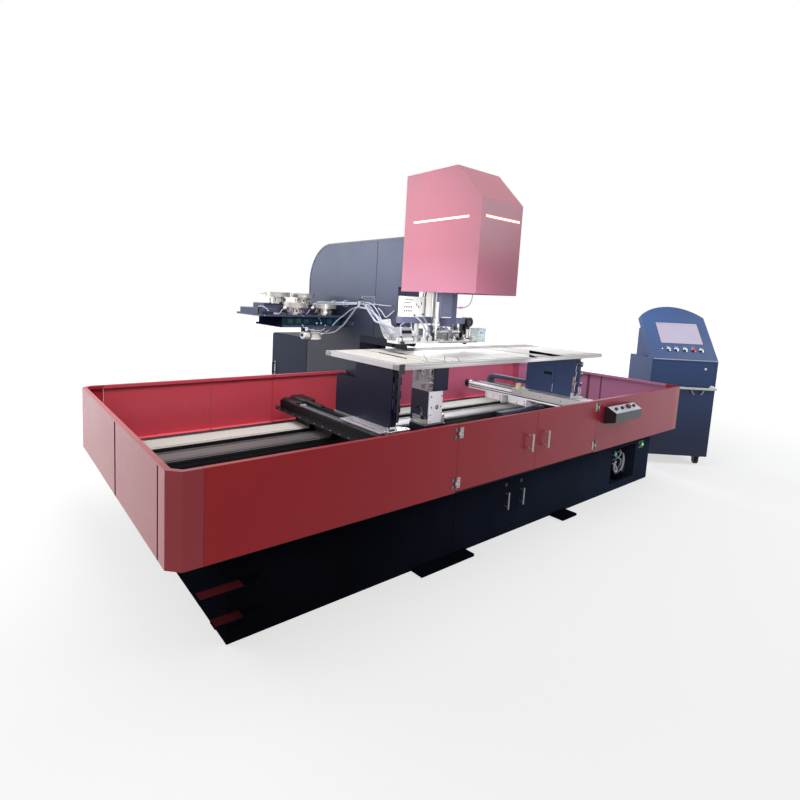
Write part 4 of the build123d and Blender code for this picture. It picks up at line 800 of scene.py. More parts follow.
def table_details():
    """Slots and end caps of the profiles, screws, painted shade in the openings and a painted shadow on the
    plates, gaps of the plates.
    """
    slots = Piece("table_slots")
    for y in (474, 1228):
        slots.box(dark_slot, 1500, 3926, y, y + 6, 1123.6, 1124.5, 0.1)
    for x in (1520, 3896):
        slots.box(dark_slot, x, x + 6, 512, 1196, 1123.6, 1124.5, 0.1)
    slots.box(dark_slot, 1496, 3930, 449.4, 450.6, 1103.6, 1111.4, 0.2)
    slots.done("table", "aluminium")
    caps = Piece("table_end_caps")
    for x in (1488.5, 3929.5):
        for y in (446, 1200):
            caps.box(grey_cap, x, x + 4, y, y + 62, 1091, PROFILE_TOP, 1)
            caps.screws(bright_steel, [(x + (4 if x > 2000 else 0), y + d, 1107) for d in (16, 46)],
                        (1 if x > 2000 else -1, 0, 0), 4, 1.5)
    for x in (1560, 2016, 2986, 3326, 3862):
        for y in (515, 1193):
            caps.screws(grey_metal, [(x + d, y, PROFILE_TOP) for d in (4, 38)], Z, 4, 1.2)
    caps.done("table", "aluminium")
    fittings = Piece("table_fittings")
    for x in (1575, 1750, 1832, 1920, 2010, 2500, 2960, 3060, 3270, 3360, 3850):
        for y in (496, 1212):
            fittings.screws(bright_steel, [(x, y, PLATE_TOP)], Z, 4, 1.6)
    for x in (2040, 2290, 2540, 2790):
        fittings.box(seam_dark, x, x + 1.6, 486, 1222, 1126.8, 1127.3, 0.1)
    for x0, x1, y in ((1966, 3000, 668), (1966, 3000, 1042), (3328, 3884, 700), (1540, 1786, 760)):
        fittings.box(seam_dark, x0, x1, y, y + 1.6, 1126.8, 1127.3, 0.1)
    # Black sheets of painted shade and painted shadow on the plates, and a grey strip of painted shade.
    for outline in TABLE_SHADE_PATCHES:
        fittings.plate(shade_black, outline, "z", 1126.6, 1127.4)
    fittings.plate(strip_grey, TABLE_SHADE, "z", 1126.6, 1127.3)
    for (xa, ya), (xb, yb) in TABLE_LINES:
        along = Vector((xb - xa, yb - ya, 0))
        side = Vector((-along.y, along.x, 0)).normalized() * 2.5
        outline = [(xa - side.x, ya - side.y), (xb - side.x, yb - side.y), (xb + side.x, yb + side.y),
                   (xa + side.x, ya + side.y)]
        fittings.plate(seam_dark, outline, "z", 1126.8, 1127.3)
    for y0, y1 in ((447.2, 452), (1257, 1261)):
        fittings.box(strip_white, 1496, 3926, y0, y1, 1102.4, 1112.6, 0.5)
    fittings.done("table", "pale_board")


def die_tower_details():
    """Screws, ports and cable of the die tower, its changer and side box, the board on the tray floor."""
    made = Piece("die_tower_fittings")
    made.screws(bright_steel, [(x, 830, z) for x in (2174, 2288) for z in (612, 660, 800)], FRONT, 6)
    made.screws(black_plastic, [(x, 830, 716) for x in (2180, 2284)], FRONT, 5)
    made.ring(bright_steel, (2240, 830, 716), FRONT, 17, 6.2, 0, 3)
    made.box(bright_steel, 2150, 2160, 852, 1000, 590, 640, 1.5)
    for y in (872, 980):
        made.screws(bright_steel, [(2150, y, 616)], LEFT, 6)
    for x in (2146, 2330):
        made.screws(bright_steel, [(x, y, 592) for y in (856, 996)], Z, 7)
    made.box(aluminium, 2304, 2340, 836, 900, 592, 650, 2)
    made.box(bright_steel, 2298, 2306, 838, 870, 650, 830, 1.5)
    made.rod(bright_steel, (2150, 900, 660), (2162, 900, 660), 12)
    made.rod(black_plastic, (2150, 960, 700), (2162, 960, 700), 10)
    made.box(aluminium, 2118, 2162, 846, 892, 590, 622, 3)
    made.box(black_plastic, 2122, 2142, 856, 884, 622, 656, 3)
    made.tube(grey_rubber, [(2132, 870, 655), (2128, 876, 690), (2144, 900, 706), (2158, 930, 700)], 3)
    made.done("machine", "black_anodised")

    top = Piece("die_changer_fittings")
    top.ring(chrome, (2140, 968, 1010), LEFT, 31, 19, -2, 3)
    top.rod(dark_slot, (2148, 968, 1010), (2142, 968, 1010), 17)
    top.ring(bright_steel, (2152, 896, 985), LEFT, 22, 10, 0, 8)
    top.ring(bright_steel, (2153, 900, 872), LEFT, 18, 7, 0, 6)
    top.screws(bright_steel, [(2156, y, z) for y in (874, 918) for z in (940, 1030)], LEFT, 5)
    top.screws(bright_steel, [(2156, y, 890) for y in (880, 1004)], LEFT, 5)
    top.screws(bright_steel, [(2148, 1005, z) for z in (915, 995)], LEFT, 5)
    top.box(bright_steel, 2160, 2204, 845, 851, 850, 1040, 1.5)
    top.screws(bright_steel, [(x, 845, z) for x in (2170, 2194) for z in (862, 940, 1028)], FRONT, 4.5)
    top.box(dark_slot, 2176, 2190, 843.6, 845.4, 966, 1004, 1)
    top.rod(bright_steel, (2183, 845, 905), (2183, 828, 905), 9)
    top.box(black_plastic, 2172, 2194, 826, 845, 1012, 1036, 2)
    top.done("machine", "steel")

    side = Piece("die_side_box_fittings")
    side.box(side_box_paint, 2214, 2345, 830.5, 834.5, 850, 1040, 1.5)
    side.screws(black_plastic, [(x, 830.5, z) for x in (2224, 2335) for z in (862, 1028)], FRONT, 4)
    side.ring(chrome, (RAM_X, RAM_Y, 1052), Z, 32, 18.6, 0, 5)
    side.screws(bright_steel, around(RAM_X, RAM_Y, 1057, 25, (0.6, 2.2, 3.7, 5.3)), Z, 3, 2)
    side.screws(bright_steel, [(x, y, 1052) for x in (2320, 2345) for y in (845, 1000)], Z, 4)
    side.done("machine", "black_anodised")

    board = Piece("tray_board")
    board.box(cream_plastic, 2642, 2940, 862, 1002, 461, 475, 2)
    board.box(seam_dark, 2660, 2664, 870, 994, 474.6, 475.3, 0.1)
    board.screws(bright_steel, [(x, y, 475) for x in (2656, 2926) for y in (876, 988)], Z, 5, 2)
    board.tube(rubber, [(2640, 930, 466), (2590, 934, 466), (2520, 900, 466), (2430, 880, 466)], 5)
    board.done("machine", "pale_board")


def module_details():
    """Cover strips, slots, end caps and screws of the crosswise modules, and their chain's links."""
    left = Piece("left_module_fittings")
    left.boxes(black_plastic, 4, (1386, 1584, 1734, 1742, 608, 676), (1386, 1584, 143, 151, 608, 676))
    for x in (1402, 1568):
        left.screws(bright_steel, [(x, 143, z) for z in (622, 660)], FRONT, 5, 3)
        left.screws(bright_steel, [(x, 1742, z) for z in (622, 660)], (0, 1, 0), 5, 3)
    left.box(strip_grey, 1410, 1462, 190, 1448, 673.6, 674.8, 0.2)
    left.box(valve_grey, 1414, 1440, 190, 1448, 674.6, 675.4, 0.2)
    left.box(grey_cap, 1412, 1460, 1440, 1478, 674, 684, 3)
    left.box(black_plastic, 1478, 1514, 1280, 1732, 689, 703, 4)
    left.box(black_plastic, 1474, 1584, 1522, 1740, 668, 704, 8)
    left.box(black_plastic, 1394, 1402, 160, 1730, 669, 680, 2)
    left.box(black_plastic, 1400, 1476, 1520, 1736, 669, 690, 5)
    for i in range(15):
        y = 215 + 104 * i
        left.screws(bright_steel, [(1344, y, 616)], Z, 4.5, 2.5)
        left.box(black_plastic, 1484, 1510, y, y + 3, 691, 692.2, 0.3)
    for z in (632, 652):
        left.box(dark_slot, 1388.6, 1394, 160, 1725, z - 3, z + 3, 0.4)
    left.plate(black_plastic, [(1328, 1714), (1390, 1714), (1390, 1790), (1372, 1790)], "z", 612, 616)
    left.done("gantry", "black_anodised")

    right = Piece("right_module_fittings")
    right.boxes(jet_metal, 4, (3656, 3854, 1733, 1741, 608, 678), (3656, 3854, 144, 152, 608, 678))
    right.ring(jet_metal, (3694, 1775, 654), Y, 41, 20, -10, 4)
    right.rod(bright_steel, (3694, 1770, 654), (3694, 1778, 654), 12)
    for look, x0, x1, top, edge in (
            (strip_white, 3673, 3707, 675.2, 0.3), (dark_slot, 3709, 3716, 674.8, 0.2),
            (strip_grey, 3720, 3798, 675, 0.3), (dark_slot, 3802, 3808, 674.8, 0.2),
            (strip_white, 3812, 3836, 675, 0.3)):
        right.box(look, x0, x1, 160, 1725, 673.6, top, edge)
    for z in (632, 652):
        right.box(dark_slot, 3658.6, 3664.4, 156, 1730, z - 3.4, z + 3.4, 0.4)
    for i in range(15):
        right.screws(bright_steel, [(3668, 200 + 106 * i, 670), (3844, 200 + 106 * i, 670)], Z, 4.5, 2.5)
    for y in (1024, 1110, 1196, 1310, 1396, 1482):
        right.screws(bright_steel, [(3664, y, 590), (3664, y, 566)], LEFT, 6)
    right.box(jet_metal, 3850, 3866, 720, 1560, 620, 640, 2)
    right.done("gantry", "aluminium")

    links = Piece("chain_links")
    for count, first, pitch, low, middle in ((20, 742, 43, 648, 661), (11, 1112, 44, 737, 750)):
        for i in range(count):
            y = first + pitch * i
            links.box(chain_light, 3861, 3866, y, y + 38, low, low + 27, 1.5)
            links.rod(dark_slot, (3860, y + 19, middle), (3863, y + 19, middle), 5, 10)
            if middle == 750:
                links.box(chain_light, 3868, 3920, y, y + 38, 767, 770, 1)
    for i in range(5):
        turn = math.pi * (i + 0.5) / 5
        y, z = 1594 + 44 * math.sin(turn), 706 + 46 * math.cos(turn)
        links.box(chain_light, 3861, 3866, y - 15, y + 15, z - 12, z + 12, 1.5,
                  Matrix.Rotation(-turn, 3, "X"))
    links.done("gantry", "black_anodised")
    cables = Piece("chain_cables")
    for i, look in enumerate((grey_rubber, black_plastic, blue_hose, grey_rubber)):
        x = 3874 + 13 * i
        cables.tube(look, [(x, 1120, 751), (x, 1092, 752), (x - 2, 1056, 742), (x - 3, 1042, 716),
                           (x - 3, 1046, 690), (x - 3, 1060, 682)], 4.5)
    cables.boxes(cream_plastic, 3, (3861, 3930, 1060, 1100, CARRIAGE_TOP, 734),
                 (3870, 3922, 1066, 1094, 760, 770))
    cables.boxes(bright_steel, 1, (3926, 3930, 1066, 1094, CARRIAGE_TOP, 768),
                 (3861, 3864, 1066, 1094, CARRIAGE_TOP, 768))
    cables.done("gantry", "black_rubber")

    plates = Piece("carriage_fittings")
    for x, y0, y1 in ((3676, 470, 560), (3676, 620, 700), (3830, 470, 700), (3676, 880, 1010)):
        plates.box(dark_slot, x, x + 12, y0, y1, 704.6, 705.5, 0.2)
    spots = [(x, y, CARRIAGE_TOP) for x in (3662, 3700, 3846) for y in (430, 560, 780, 980, 1140)]
    plates.screws(black_plastic, spots, Z, 6, 2)
    plates.screws(bright_steel, [(3650, y, 672) for y in (430, 640, 850, 1060)], LEFT, 6, 3)
    for y0, y1 in ((455, 545), (600, 690), (745, 835)):
        plates.box(dark_slot, 1574, 1581, y0, y1, 704.6, 705.5, 0.2)
    spots = [(x, y, CARRIAGE_TOP) for x in (1568, 1584) for y in (440, 570, 715, 860, 1010, 1140)]
    plates.screws(black_plastic, spots, Z, 5, 2)
    for x0, x1, y0, y1 in ((1398, 1519, 486, 560), (1398, 1519, 850, 920), (1398, 1432, 560, 850),
                           (1452, 1519, 560, 850)):
        plates.box(carriage_grey, x0, x1, y0, y1, 696, CARRIAGE_TOP, 1.5)
    spots = [(x, y, CARRIAGE_TOP) for x in (1410, 1508) for y in (500, 546, 866, 906)]
    plates.screws(bright_steel, spots, Z, 5)
    plates.box(bright_steel, 1420, 1600, 432, 484, 696, 720, 3)
    plates.screws(bright_steel, [(x, 458, 720) for x in (1436, 1500, 1584)], Z, 6)
    plates.box(aluminium, 3817, 3856, 600, 1080, CARRIAGE_TOP, 713, 2)
    plates.screws(bright_steel, [(3838, y, 713) for y in (620, 760, 900, 1040)], Z, 6)
    plates.done("table", "aluminium")


def upright_face(name, x, y):
    """Screws and top seal of the face of an upright whose front corner is at x and y."""
    face = Piece(name)
    for dy in (20, 270):
        face.screws(black_plastic, [(x, y + dy, z) for z in (730, 900, 1070)], LEFT, 6, 2)
    face.screws(black_plastic, [(x, y + 440, z) for z in (730, 950)], LEFT, 6, 2)
    face.box(black_plastic, x - 4, x + 54, y + 10, y + 370, 1086, 1091, 1)
    return face


def upright_details():
    """Valves, flow controls, hoses and brackets on the front edges of the uprights, seams of their faces."""
    left = Piece("upright_left_fittings")
    for low, high in ((836, 905), (915, 1003)):
        left.box(valve_dim, 1512, 1528, 516, 521, low, high, 1)
    for z in (1016, 930, 840):
        left.box(jet_metal, 1519, 1549, 479, 485, z - 20, z + 20, 1.5)
        left.rod(black_plastic, (1534, 480, z + 8), (1534, 472, z + 8), 6, 12)
    left.box(strip_white, 1502, 1578, 464, 520, CARRIAGE_TOP, 719, 2)
    left.screws(bright_steel, [(1516, 478, 719), (1564, 478, 719)], Z, 6)
    left.done("table", "steel")
    upright_face("upright_left_face", 1512, 528).done("table", "black_anodised")

    right = Piece("upright_right_fittings")
    for z in (1016, 930, 840):
        right.box(valve_grey, 3776, 3806, 542, 547, z - 20, z + 20, 1.5)
        right.rod(white_plastic, (3791, 542, z + 8), (3791, 532, z + 8), 7, 14)
        right.rod(black_plastic, (3791, 542, z - 10), (3791, 534, z - 10), 5, 12)
        right.rod(bright_steel, (3773, 564, z + 10), (3759, 564, z + 10), 6, 12)
        right.rod(black_plastic, (3760, 564, z + 10), (3753, 564, z + 10), 5, 12)
        right.tube(white_hose, [(3754, 564, z + 10), (3739, 562, z + 2), (3737, 566, z - 40),
                                (3751, 572, z - 76)], 3.2)
    right.box(bright_steel, 3757, 3763, 578, 602, 720, 900, 1)
    right.box(aluminium, 3729, 3763, 576, 596, CARRIAGE_TOP, 752, 2)
    right.box(bright_steel, 3735, 3747, 580, 590, 752, 822, 1.5)
    right.box(aluminium, 3759, 3835, 526, 582, CARRIAGE_TOP, 719, 2)
    right.screws(bright_steel, [(3773, 540, 719), (3821, 540, 719)], Z, 6)
    right.screws(bright_steel, [(3823, 582, z) for z in (770, 860, 950, 1040)], FRONT, 5)
    right.screws(bright_steel, [(3746, 576, 730)], FRONT, 5)
    right.tube(white_hose, [(3781, 554, 806), (3777, 544, 780), (3771, 546, 742), (3761, 570, 720)], 3.5)
    right.tube(clear_tube, [(3799, 554, 806), (3801, 540, 774), (3793, 544, 730)], 3.5)
    right.box(bright_steel, 3775, 3811, 560, 582, 1062, 1088, 2)
    right.box(white_plastic, 3779, 3807, 554, 562, 1066, 1082, 1.5)
    right.done("table", "steel")

    face = upright_face("upright_right_face", 3769, 590)
    face.box(upright_blue, 3769.3, 3816.7, 876, 1098, 972, 1090, 2)
    face.box(dark_slot, 3768.4, 3770, 822, 906, 880, 908, 0.3)
    face.box(strip_white, 3768.2, 3770, 806, 810, 724, 800, 0.3)
    face.box(strip_grey, 3768.2, 3770, 814, 817, 850, 909, 0.3)
    face.box(seam_blue, 3768.5, 3770, 788, 791, 706, 1090, 0.2)
    face.done("table", "black_anodised")


def feeder_details():
    """Rims, spiral tracks, drives, outlets and loose fasteners of the four bowls, the controller's knobs."""
    bowls = ((1688, 2068, SHELF_TOP), (1986, 2068, SHELF_TOP), (1640, 2314, 1432), (1900, 2314, 1432))
    rims, drives, heap = Piece("bowl_rims"), Piece("bowl_drives"), Piece("bowl_fasteners")
    for number, (x, y, z) in enumerate(bowls):
        rims.ring(rim_cream, (x, y, z), Z, 111, 99, 88, 101, 40)
        rims.ring(rim_cream, (x, y, z), Z, 109, 106, 62, 90, 40)
        track = [(2 * math.pi * i / 22 + number, z + 75 + 0.5 * i) for i in range(45)]
        for (t0, h0), (t1, h1) in zip(track, track[1:]):
            points = []
            for turn, height in ((t0, h0), (t1, h1)):
                for radius, lift in ((92, 0), (103, 0), (103, 2), (92, 2)):
                    points.append(turned(x, y, height + lift, radius, turn))
            rims.add(bright_steel, points, [(0, 1, 5, 4), (1, 2, 6, 5), (2, 3, 7, 6), (3, 0, 4, 7)])
        out = 0.6 + number
        for lift, reach in ((90, 0), (86, 26)):
            a, b, top = turned(x, y, z + lift, 112 + reach, out)
            rims.box(bright_steel, a - 18, a + 18, b - 10, b + 10, top - 8, top, 1.5,
                     Matrix.Rotation(out, 3, "Z"))
        drives.ring(copper, (x, y, z), Z, 66.6, 61, 20, 46, 32)
        drives.ring(drive_silver, (x, y, z), Z, 72, 69, 16, 22, 32)
        drives.ring(drive_silver, (x, y, z), Z, 72, 69, 44, 50, 32)
        for i in range(8):
            turn = math.pi * (i + 0.5) / 4
            look = (drive_silver, rim_cream, copper)[(i + number) % 3]
            a, b, low = turned(x, y, z + 22, 71, turn)
            drives.box(look, a - 1.5, a + 1.5, b - 9, b + 9, low, low + 22, 0.6,
                       Matrix.Rotation(turn, 3, "Z"))
        thirds = [2 * math.pi * i / 3 for i in range(3)]
        for spot in around(x, y, z, 58, [turn + 0.5 for turn in thirds]):
            drives.rod(rubber, spot, Vector(spot) + 10 * Z, 16, 14)
        drives.screws(bright_steel, around(x, y, z + 60, 58, [turn + 0.2 for turn in thirds]), Z, 4)
        for i in range(34):
            radius = 66 * math.sqrt(((i * 0.618) % 1) * 0.95 + 0.02)
            turn = 2.4 * i + number
            lean = (0.5 * math.sin(3 * i), 0.5 * math.cos(5 * i), 1)
            spot = turned(x, y, z + 66 + 2.5 * (i % 3), radius, turn)
            if number % 2:
                heap.ring(bright_steel, spot, lean, 5.5, 2.8, 0, 5, 6)
            else:
                heap.lathe(bright_steel, spot, lean, [(5.5, 0), (5.5, 2.5), (2.4, 2.5), (2.4, 9)], 6)
    rims.done("machine", "bowl_steel")
    drives.done("machine", "bowl_steel")
    heap.done("machine", "steel")

    extra = Piece("feeder_fittings")
    for x, y, z in ((1530, 1972, 1404), (1800, 1972, 1410)):
        extra.rod(white_plastic, (x - 12, y, z), (x + 12, y, z), 13, 18, 3)
        extra.box(black_plastic, x + 8, x + 20, y - 8, y + 8, z - 58, z + 12, 2)
        extra.tube(white_hose, [(x - 12, y, z - 4), (x - 34, y - 6, z - 22), (x - 54, y - 2, z - 48),
                                (x - 60, y + 8, z - 58)], 3.2)
    extra.tube(white_hose, [(1804, 1976, 1420), (1822, 1966, 1452), (1848, 1970, 1446), (1856, 1990, 1400),
                            (1842, 2010, 1352)], 3.2)
    extra.tube(black_plastic, [(1742, 1980, 1350), (1760, 1966, 1392), (1792, 1970, 1398),
                               (1830, 1986, 1350)], 4)
    extra.tube(teal_plastic, [(1836, 1962, SHELF_TOP), (1862, 1950, 1316), (1880, 1958, 1296),
                              (1896, 1970, 1290)], 3)
    for x in (1842, 1888):
        extra.rod(lamp_blue, (x, 1970, 1276), (x, 1958, 1276), 9, 16, 2)
        extra.ring(black_plastic, (x, 1970, 1276), FRONT, 13, 9, 0, 4)
    for x in (1560, 1640, 1720, 1960, 2040):
        extra.box(teal_dark, x, x + 44, 1966.5, 1971, 1272, 1312, 1.5)
        extra.rod(teal_plastic, (x + 30, 1966.5, 1292), (x + 30, 1963, 1292), 3, 10)
    extra.boxes(black_plastic, 3, (1300, 1340, 2010, 2050, SHELF_TOP, 1400),
                (1330, 1420, 1960, 1984, SHELF_TOP, 1372))
    extra.tube(white_hose, [(1310, 2030, 1396), (1316, 2004, 1412), (1350, 1990, 1404),
                            (1380, 1976, 1372)], 4)
    extra.box(bright_steel, 1404, 1462, 1962, 1976, SHELF_TOP, 1362, 1.5)
    extra.tube(grey_rubber, [(1460, 1985, 1350), (1500, 1975, 1360), (1560, 1972, 1352),
                             (1600, 1985, 1350)], 4)
    extra.screws(bright_steel, [(x, 1950, z) for x in (1330, 1700, 2090) for z in (1248, 1338)], FRONT, 5, 3)
    extra.box(bright_steel, 2108, 2130, 2196, 2204, SHELF_TOP, 1432, 1)
    extra.box(seam_blue, 1452, 2108, 2203.5, 2206, 1420, 1431, 0.5)
    extra.done("machine", "grey_blue_paint")

    drum = Piece("canister_fittings")
    drum.ring(white_plastic, (1862, 2060, 1130), Z, 83, 74, 0, 9, 32)
    drum.ring(white_plastic, (1862, 2060, 1130), Z, 83, 74, 58, 67, 32)
    drum.rod(white_plastic, (1788, 2010, 1163), (1716, 1990, 1170), 34, 24, 6)
    drum.ring(black_plastic, (1788, 2010, 1163), (-1, -0.28, 0.1), 37, 30, -4, 6)
    drum.rod(black_plastic, (1720, 1992, 1170), (1706, 1988, 1171), 14, 18, 3)
    drum.box(black_plastic, 1742, 1770, 2030, 2060, 1168, 1240, 2)
    drum.rod(bright_steel, (1930, 2002, 1180), (1906, 2010, 1176), 11, 14)
    drum.done("machine", "white_plastic")

    hoses = Piece("small_hoses")
    hoses.tube(white_hose, [(1700, 1968, 1262), (1712, 1952, 1236), (1790, 1946, 1216), (1868, 1948, 1212),
                            (1920, 1962, 1224), (1940, 1970, 1262)], 5)
    hoses.tube(white_hose, [(1926, 1996, 1176), (1990, 1975, 1222), (2040, 1962, 1286), (2084, 1900, 1352),
                            (2096, 1800, 1412), (2100, 1700, 1444)], 5)
    run = ((2104, 2230, 1452, 0.4), (2112, 2000, 1452, 1), (2110, 1850, 1458, 0.8),
           (2110, 1670, 1466, 0.5), (2106, 1540, 1462, 0.7), (2108, 1440, 1384, 1),
           (2108, 1370, 1306, 0.6), (2104, 1290, 1246, 0.4))
    for lift, shift in ((18, 4), (-6, -20)):
        hoses.tube(white_hose, [(x + shift, y, z + lift * part) for x, y, z, part in run], 4)
    for y, z in ((2090, 1454), (1906, 1460)):
        hoses.ring(valve_light, (2106, y, z), Y, 30, 27, -4, 4)
    hoses.tube(white_hose, [(2118, 1640, 1466), (2110, 1500, 1470), (2112, 1380, 1466),
                            (2124, 1290, 1465)], 4)
    hoses.tube(white_hose, [(2108, 1440, 1440), (2100, 1386, 1418), (2100, 1330, 1374), (2104, 1290, 1392),
                            (2122, 1250, 1430)], 4)
    hoses.ring(black_plastic, (2106, 1684, 1472), Y, 36, 31, -4, 4)
    hoses.done("machine", "white_hose")


def frame_details():
    """Covers, throat guards and edge of the press frame, hinges and vents of the rear cabinet."""
    made = Piece("frame_covers")
    made.box(frame_blue, 2126.8, 2130.4, 1512, 1700, 1452, 1534, 1)
    for y in (1524, 1688):
        made.screws(bright_steel, [(2127, y, z) for z in (1464, 1522)], LEFT, 4, 2)
    made.boxes(seam_light, 0.3, (2126.2, 2127.2, 1512, 1700, 1532.6, 1534.2),
               (2126.2, 2127.2, 1511.4, 1513, 1452, 1534))
    made.box(frame_blue, 2127.4, 2130.4, 1800, 2016, 1266, 1300, 1)
    made.screws(bright_steel, [(2127.4, y, 1283) for y in (1812, 2004)], LEFT, 4, 2)
    made.done("machine", "grey_blue_paint")

    guard = Piece("throat_guards")
    near, far = (2126.6, 2130.4), (2359.6, 2363.4)
    outline = [(1228, 1196), (1228, 1160), (1236, 1143), (1254, 1133), (1692, 1133), (1692, 1196)]
    for face in (near, far):
        guard.plate(guard_paint, outline, "x", *face)
    guard.plate(guard_paint, [(1080, 1130.6), (1256, 1130.6), (1256, 1181), (1088, 1181)], "x", *near)
    guard.plate(guard_paint, [(1618, 1052), (1700.5, 1052), (1700.5, 1196), (1618, 1134)], "x", *far)
    guard.screws(grey_metal, [(2126.6, y, 1190) for y in (1260, 1460, 1660)], LEFT, 3.4, 1.5)
    guard.done("machine", "grey_blue_paint")

    edge = Piece("frame_edges")
    turns = [math.pi / 2 * i / 18 for i in range(19)]
    line, inner = (
        [(1100, 1650 + radius)]
        + [(2219 + radius * math.sin(turn), 1650 + radius * math.cos(turn)) for turn in turns]
        + [(2219 + radius, 1100)] for radius in (360, 346))
    for x0, x1 in ((2127, 2131), (2359, 2363)):
        for i in range(len(line) - 1):
            edge.plate(frame_edge, [line[i], line[i + 1], inner[i + 1], inner[i]], "x", x0, x1)
    edge.done("machine", "grey_blue_paint")

    cabinet = Piece("rear_cabinet_fittings")
    for z in (160, 560, 960):
        cabinet.rod(cabinet_paint, (2132, 2584, z - 30), (2132, 2584, z + 30), 5, 12)
    for z in range(820, 964, 16):
        cabinet.boxes(dark_slot, 0.5, (2240, 2540, 3336, 3338.2, z, z + 6),
                      (2628.5, 2631, 2720, 2960, z, z + 6))
    cabinet.box(seam_blue, 2150, 2632, 2584, 2586, 60, 1078, 0.4)
    cabinet.box(cabinet_paint, 2146, 2634, 2581, 3337, 1074, 1080, 1)
    cabinet.done("machine", "grey_blue_paint")
    lock = Piece("rear_door_fittings")
    lock.ring(jet_metal, (2130, 3264, 800), LEFT, 13, 6, 0, 4)
    lock.rod(dark_slot, (2130, 3264, 800), (2128, 3264, 800), 6, 14)
    lock.box(face_white, 2127.4, 2130.4, 3252, 3274, 612, 760, 1)
    lock.done("rear_cabinet_door", "steel")


# The tray doors' hinges: x of the left and right pin, heights, and the outline of a flat screw head
PIN_LEFT, PIN_RIGHT, HINGE_HEIGHTS = 1557, 3075, (805, 517)
HINGE_SCREW = [(4.6, 0), (4.2, 0.7), (1.8, 0.7), (1.6, 0.2), (0, 0.2)]


def base_details():
    """Signal lights, connectors and cables, door locks, screws of hinges and rails, chain links."""
    lights = Piece("signal_lights")
    for x, z, look in ((3667, 322, lamp_teal), (4157, 338, lamp_green)):
        lights.ring(black_plastic, (x, 115, z), FRONT, 21, 14, 0, 6)
        lights.lathe(look, (x, 113, z), FRONT, [(14, 0), (14, 6), (11, 12), (6, 15), (0, 16)], 20)
    lights.box(black_plastic, 4100, 4190, 113.6, 115.4, 306, 370, 0.6)
    lights.rod(lamp_off, (4124, 114, 332), (4124, 106, 332), 10, 18, 2)
    lights.done("machine", "green_cap")

    bay = Piece("bay_connectors")
    for i in range(4):
        for j in range(3):
            x, z = 3690 + 86 * i, 138 + 72 * j
            bay.ring(bright_steel, (x, 275, z), FRONT, 23, 17, 0, 8, 24)
            bay.rod(black_plastic, (x, 274, z), (x, 246, z), 17, 20, 2)
            bay.ring(bright_steel, (x, 252, z), FRONT, 20, 17, 0, 6, 20)
    runs = (
        ((3690, 246, 210), (3700, 200, 214), (3760, 158, 206), (3786, 142, 168), (3766, 138, 142),
         (3740, 142, 166), (3752, 150, 206), (3800, 160, 224)),
        ((3862, 246, 282), (3874, 190, 290), (3888, 150, 278), (3892, 142, 238), (3886, 140, 190),
         (3872, 150, 140), (3866, 190, 96)),
        ((3776, 246, 282), (3790, 190, 276), (3812, 150, 258), (3840, 142, 240), (3862, 148, 208),
         (3880, 170, 150)),
        ((3776, 246, 210), (3800, 188, 228), (3830, 150, 270), (3850, 150, 300), (3868, 180, 330),
         (3876, 240, 344)),
        ((3948, 246, 210), (3936, 180, 214), (3920, 150, 226), (3898, 142, 250), (3880, 150, 286)),
    )
    for route, radius in zip(runs, (8, 9, 6, 6, 7)):
        bay.tube(grey_rubber if route is runs[-1] else white_hose, route, radius)
    for x, z in ((3948, 138), (3690, 282), (3862, 138), (3948, 282)):
        bay.tube(black_plastic, [(x, 246, z), (x + 6, 196, z - 8), (x + 12, 172, z - 40),
                                 (x + 4, 190, 84)], 8)
    bay.box(jet_metal, 3640, 3660, 200, 272, 250, 330, 3)
    bay.box(grey_metal, 3980, 4022, 180, 272, 90, 200, 3)
    bay.done("machine", "white_hose")

    rim = Piece("bay_rim")
    for x0, x1, z0, z1 in ((3625, 3633, 70, 360), (4026, 4034, 70, 360), (3625, 4034, 70, 78),
                           (3625, 4034, 352, 360)):
        rim.box(black_paint, x0, x1, 111.6, 115.4, z0, z1, 1)
    rim.done("machine", "black_paint")

    for side, x in (("left", 2190), ("right", 2354)):
        lock = Piece("base_door_" + side + "_lock")
        lock.ring(jet_metal, (x, 113, 346), FRONT, 12, 5.5, 0, 3)
        lock.rod(dark_slot, (x, 113, 346), (x, 111.4, 346), 5.5, 14)
        lock.done("base_door_" + side, "steel")
    screws = Piece("hinge_screws")
    for pin, side in ((PIN_LEFT, -1), (PIN_RIGHT, 1)):
        for z in HINGE_HEIGHTS:
            for lift in (-21, 21):
                screws.lathe(grey_metal, (pin + side * 19, -3, z + lift), FRONT, HINGE_SCREW, 12)
    screws.done("machine", "hinge_steel")
    for name, pin, side in (("left", PIN_LEFT, 1), ("right", PIN_RIGHT, -1)):
        screws = Piece("tray_door_" + name + "_screws")
        for z in HINGE_HEIGHTS:
            for lift in (-21, 0, 21):
                screws.lathe(grey_metal, (pin + side * 26, -3, z + lift), FRONT, HINGE_SCREW, 12)
        screws.done("tray_door_" + name, "hinge_steel")

    rails = Piece("rail_fittings")
    for y in (1018, 1304):
        for i in range(27):
            rails.screws(black_plastic, [(330 + 158 * i, y + dy, 549.3) for dy in (24, 176)], Z, 4.5, 0.9)
        rails.screws(bright_steel, [(269, y + dy, z) for dy in (24, 176) for z in (484, 534)], LEFT, 5, 3)
    rails.box(rail_white, 292, 4424, 1338.5, 1469.5, 547.6, 549.2, 0.3)
    rails.done("machine", "aluminium")

    x_chain = Piece("x_chain_links")
    for i in range(15):
        x = 3226 + 44 * i
        x_chain.boxes(chain_light, 1.2, (x, x + 38, 938.5, 943, 524, 544),
                      (x, x + 38, 938.5, 943, 462, 482))
        x_chain.box(chain_blue, x + 2, x + 36, 948, 992, 545.6, 547.4, 0.6)
    x_chain.done("machine", "black_anodised")


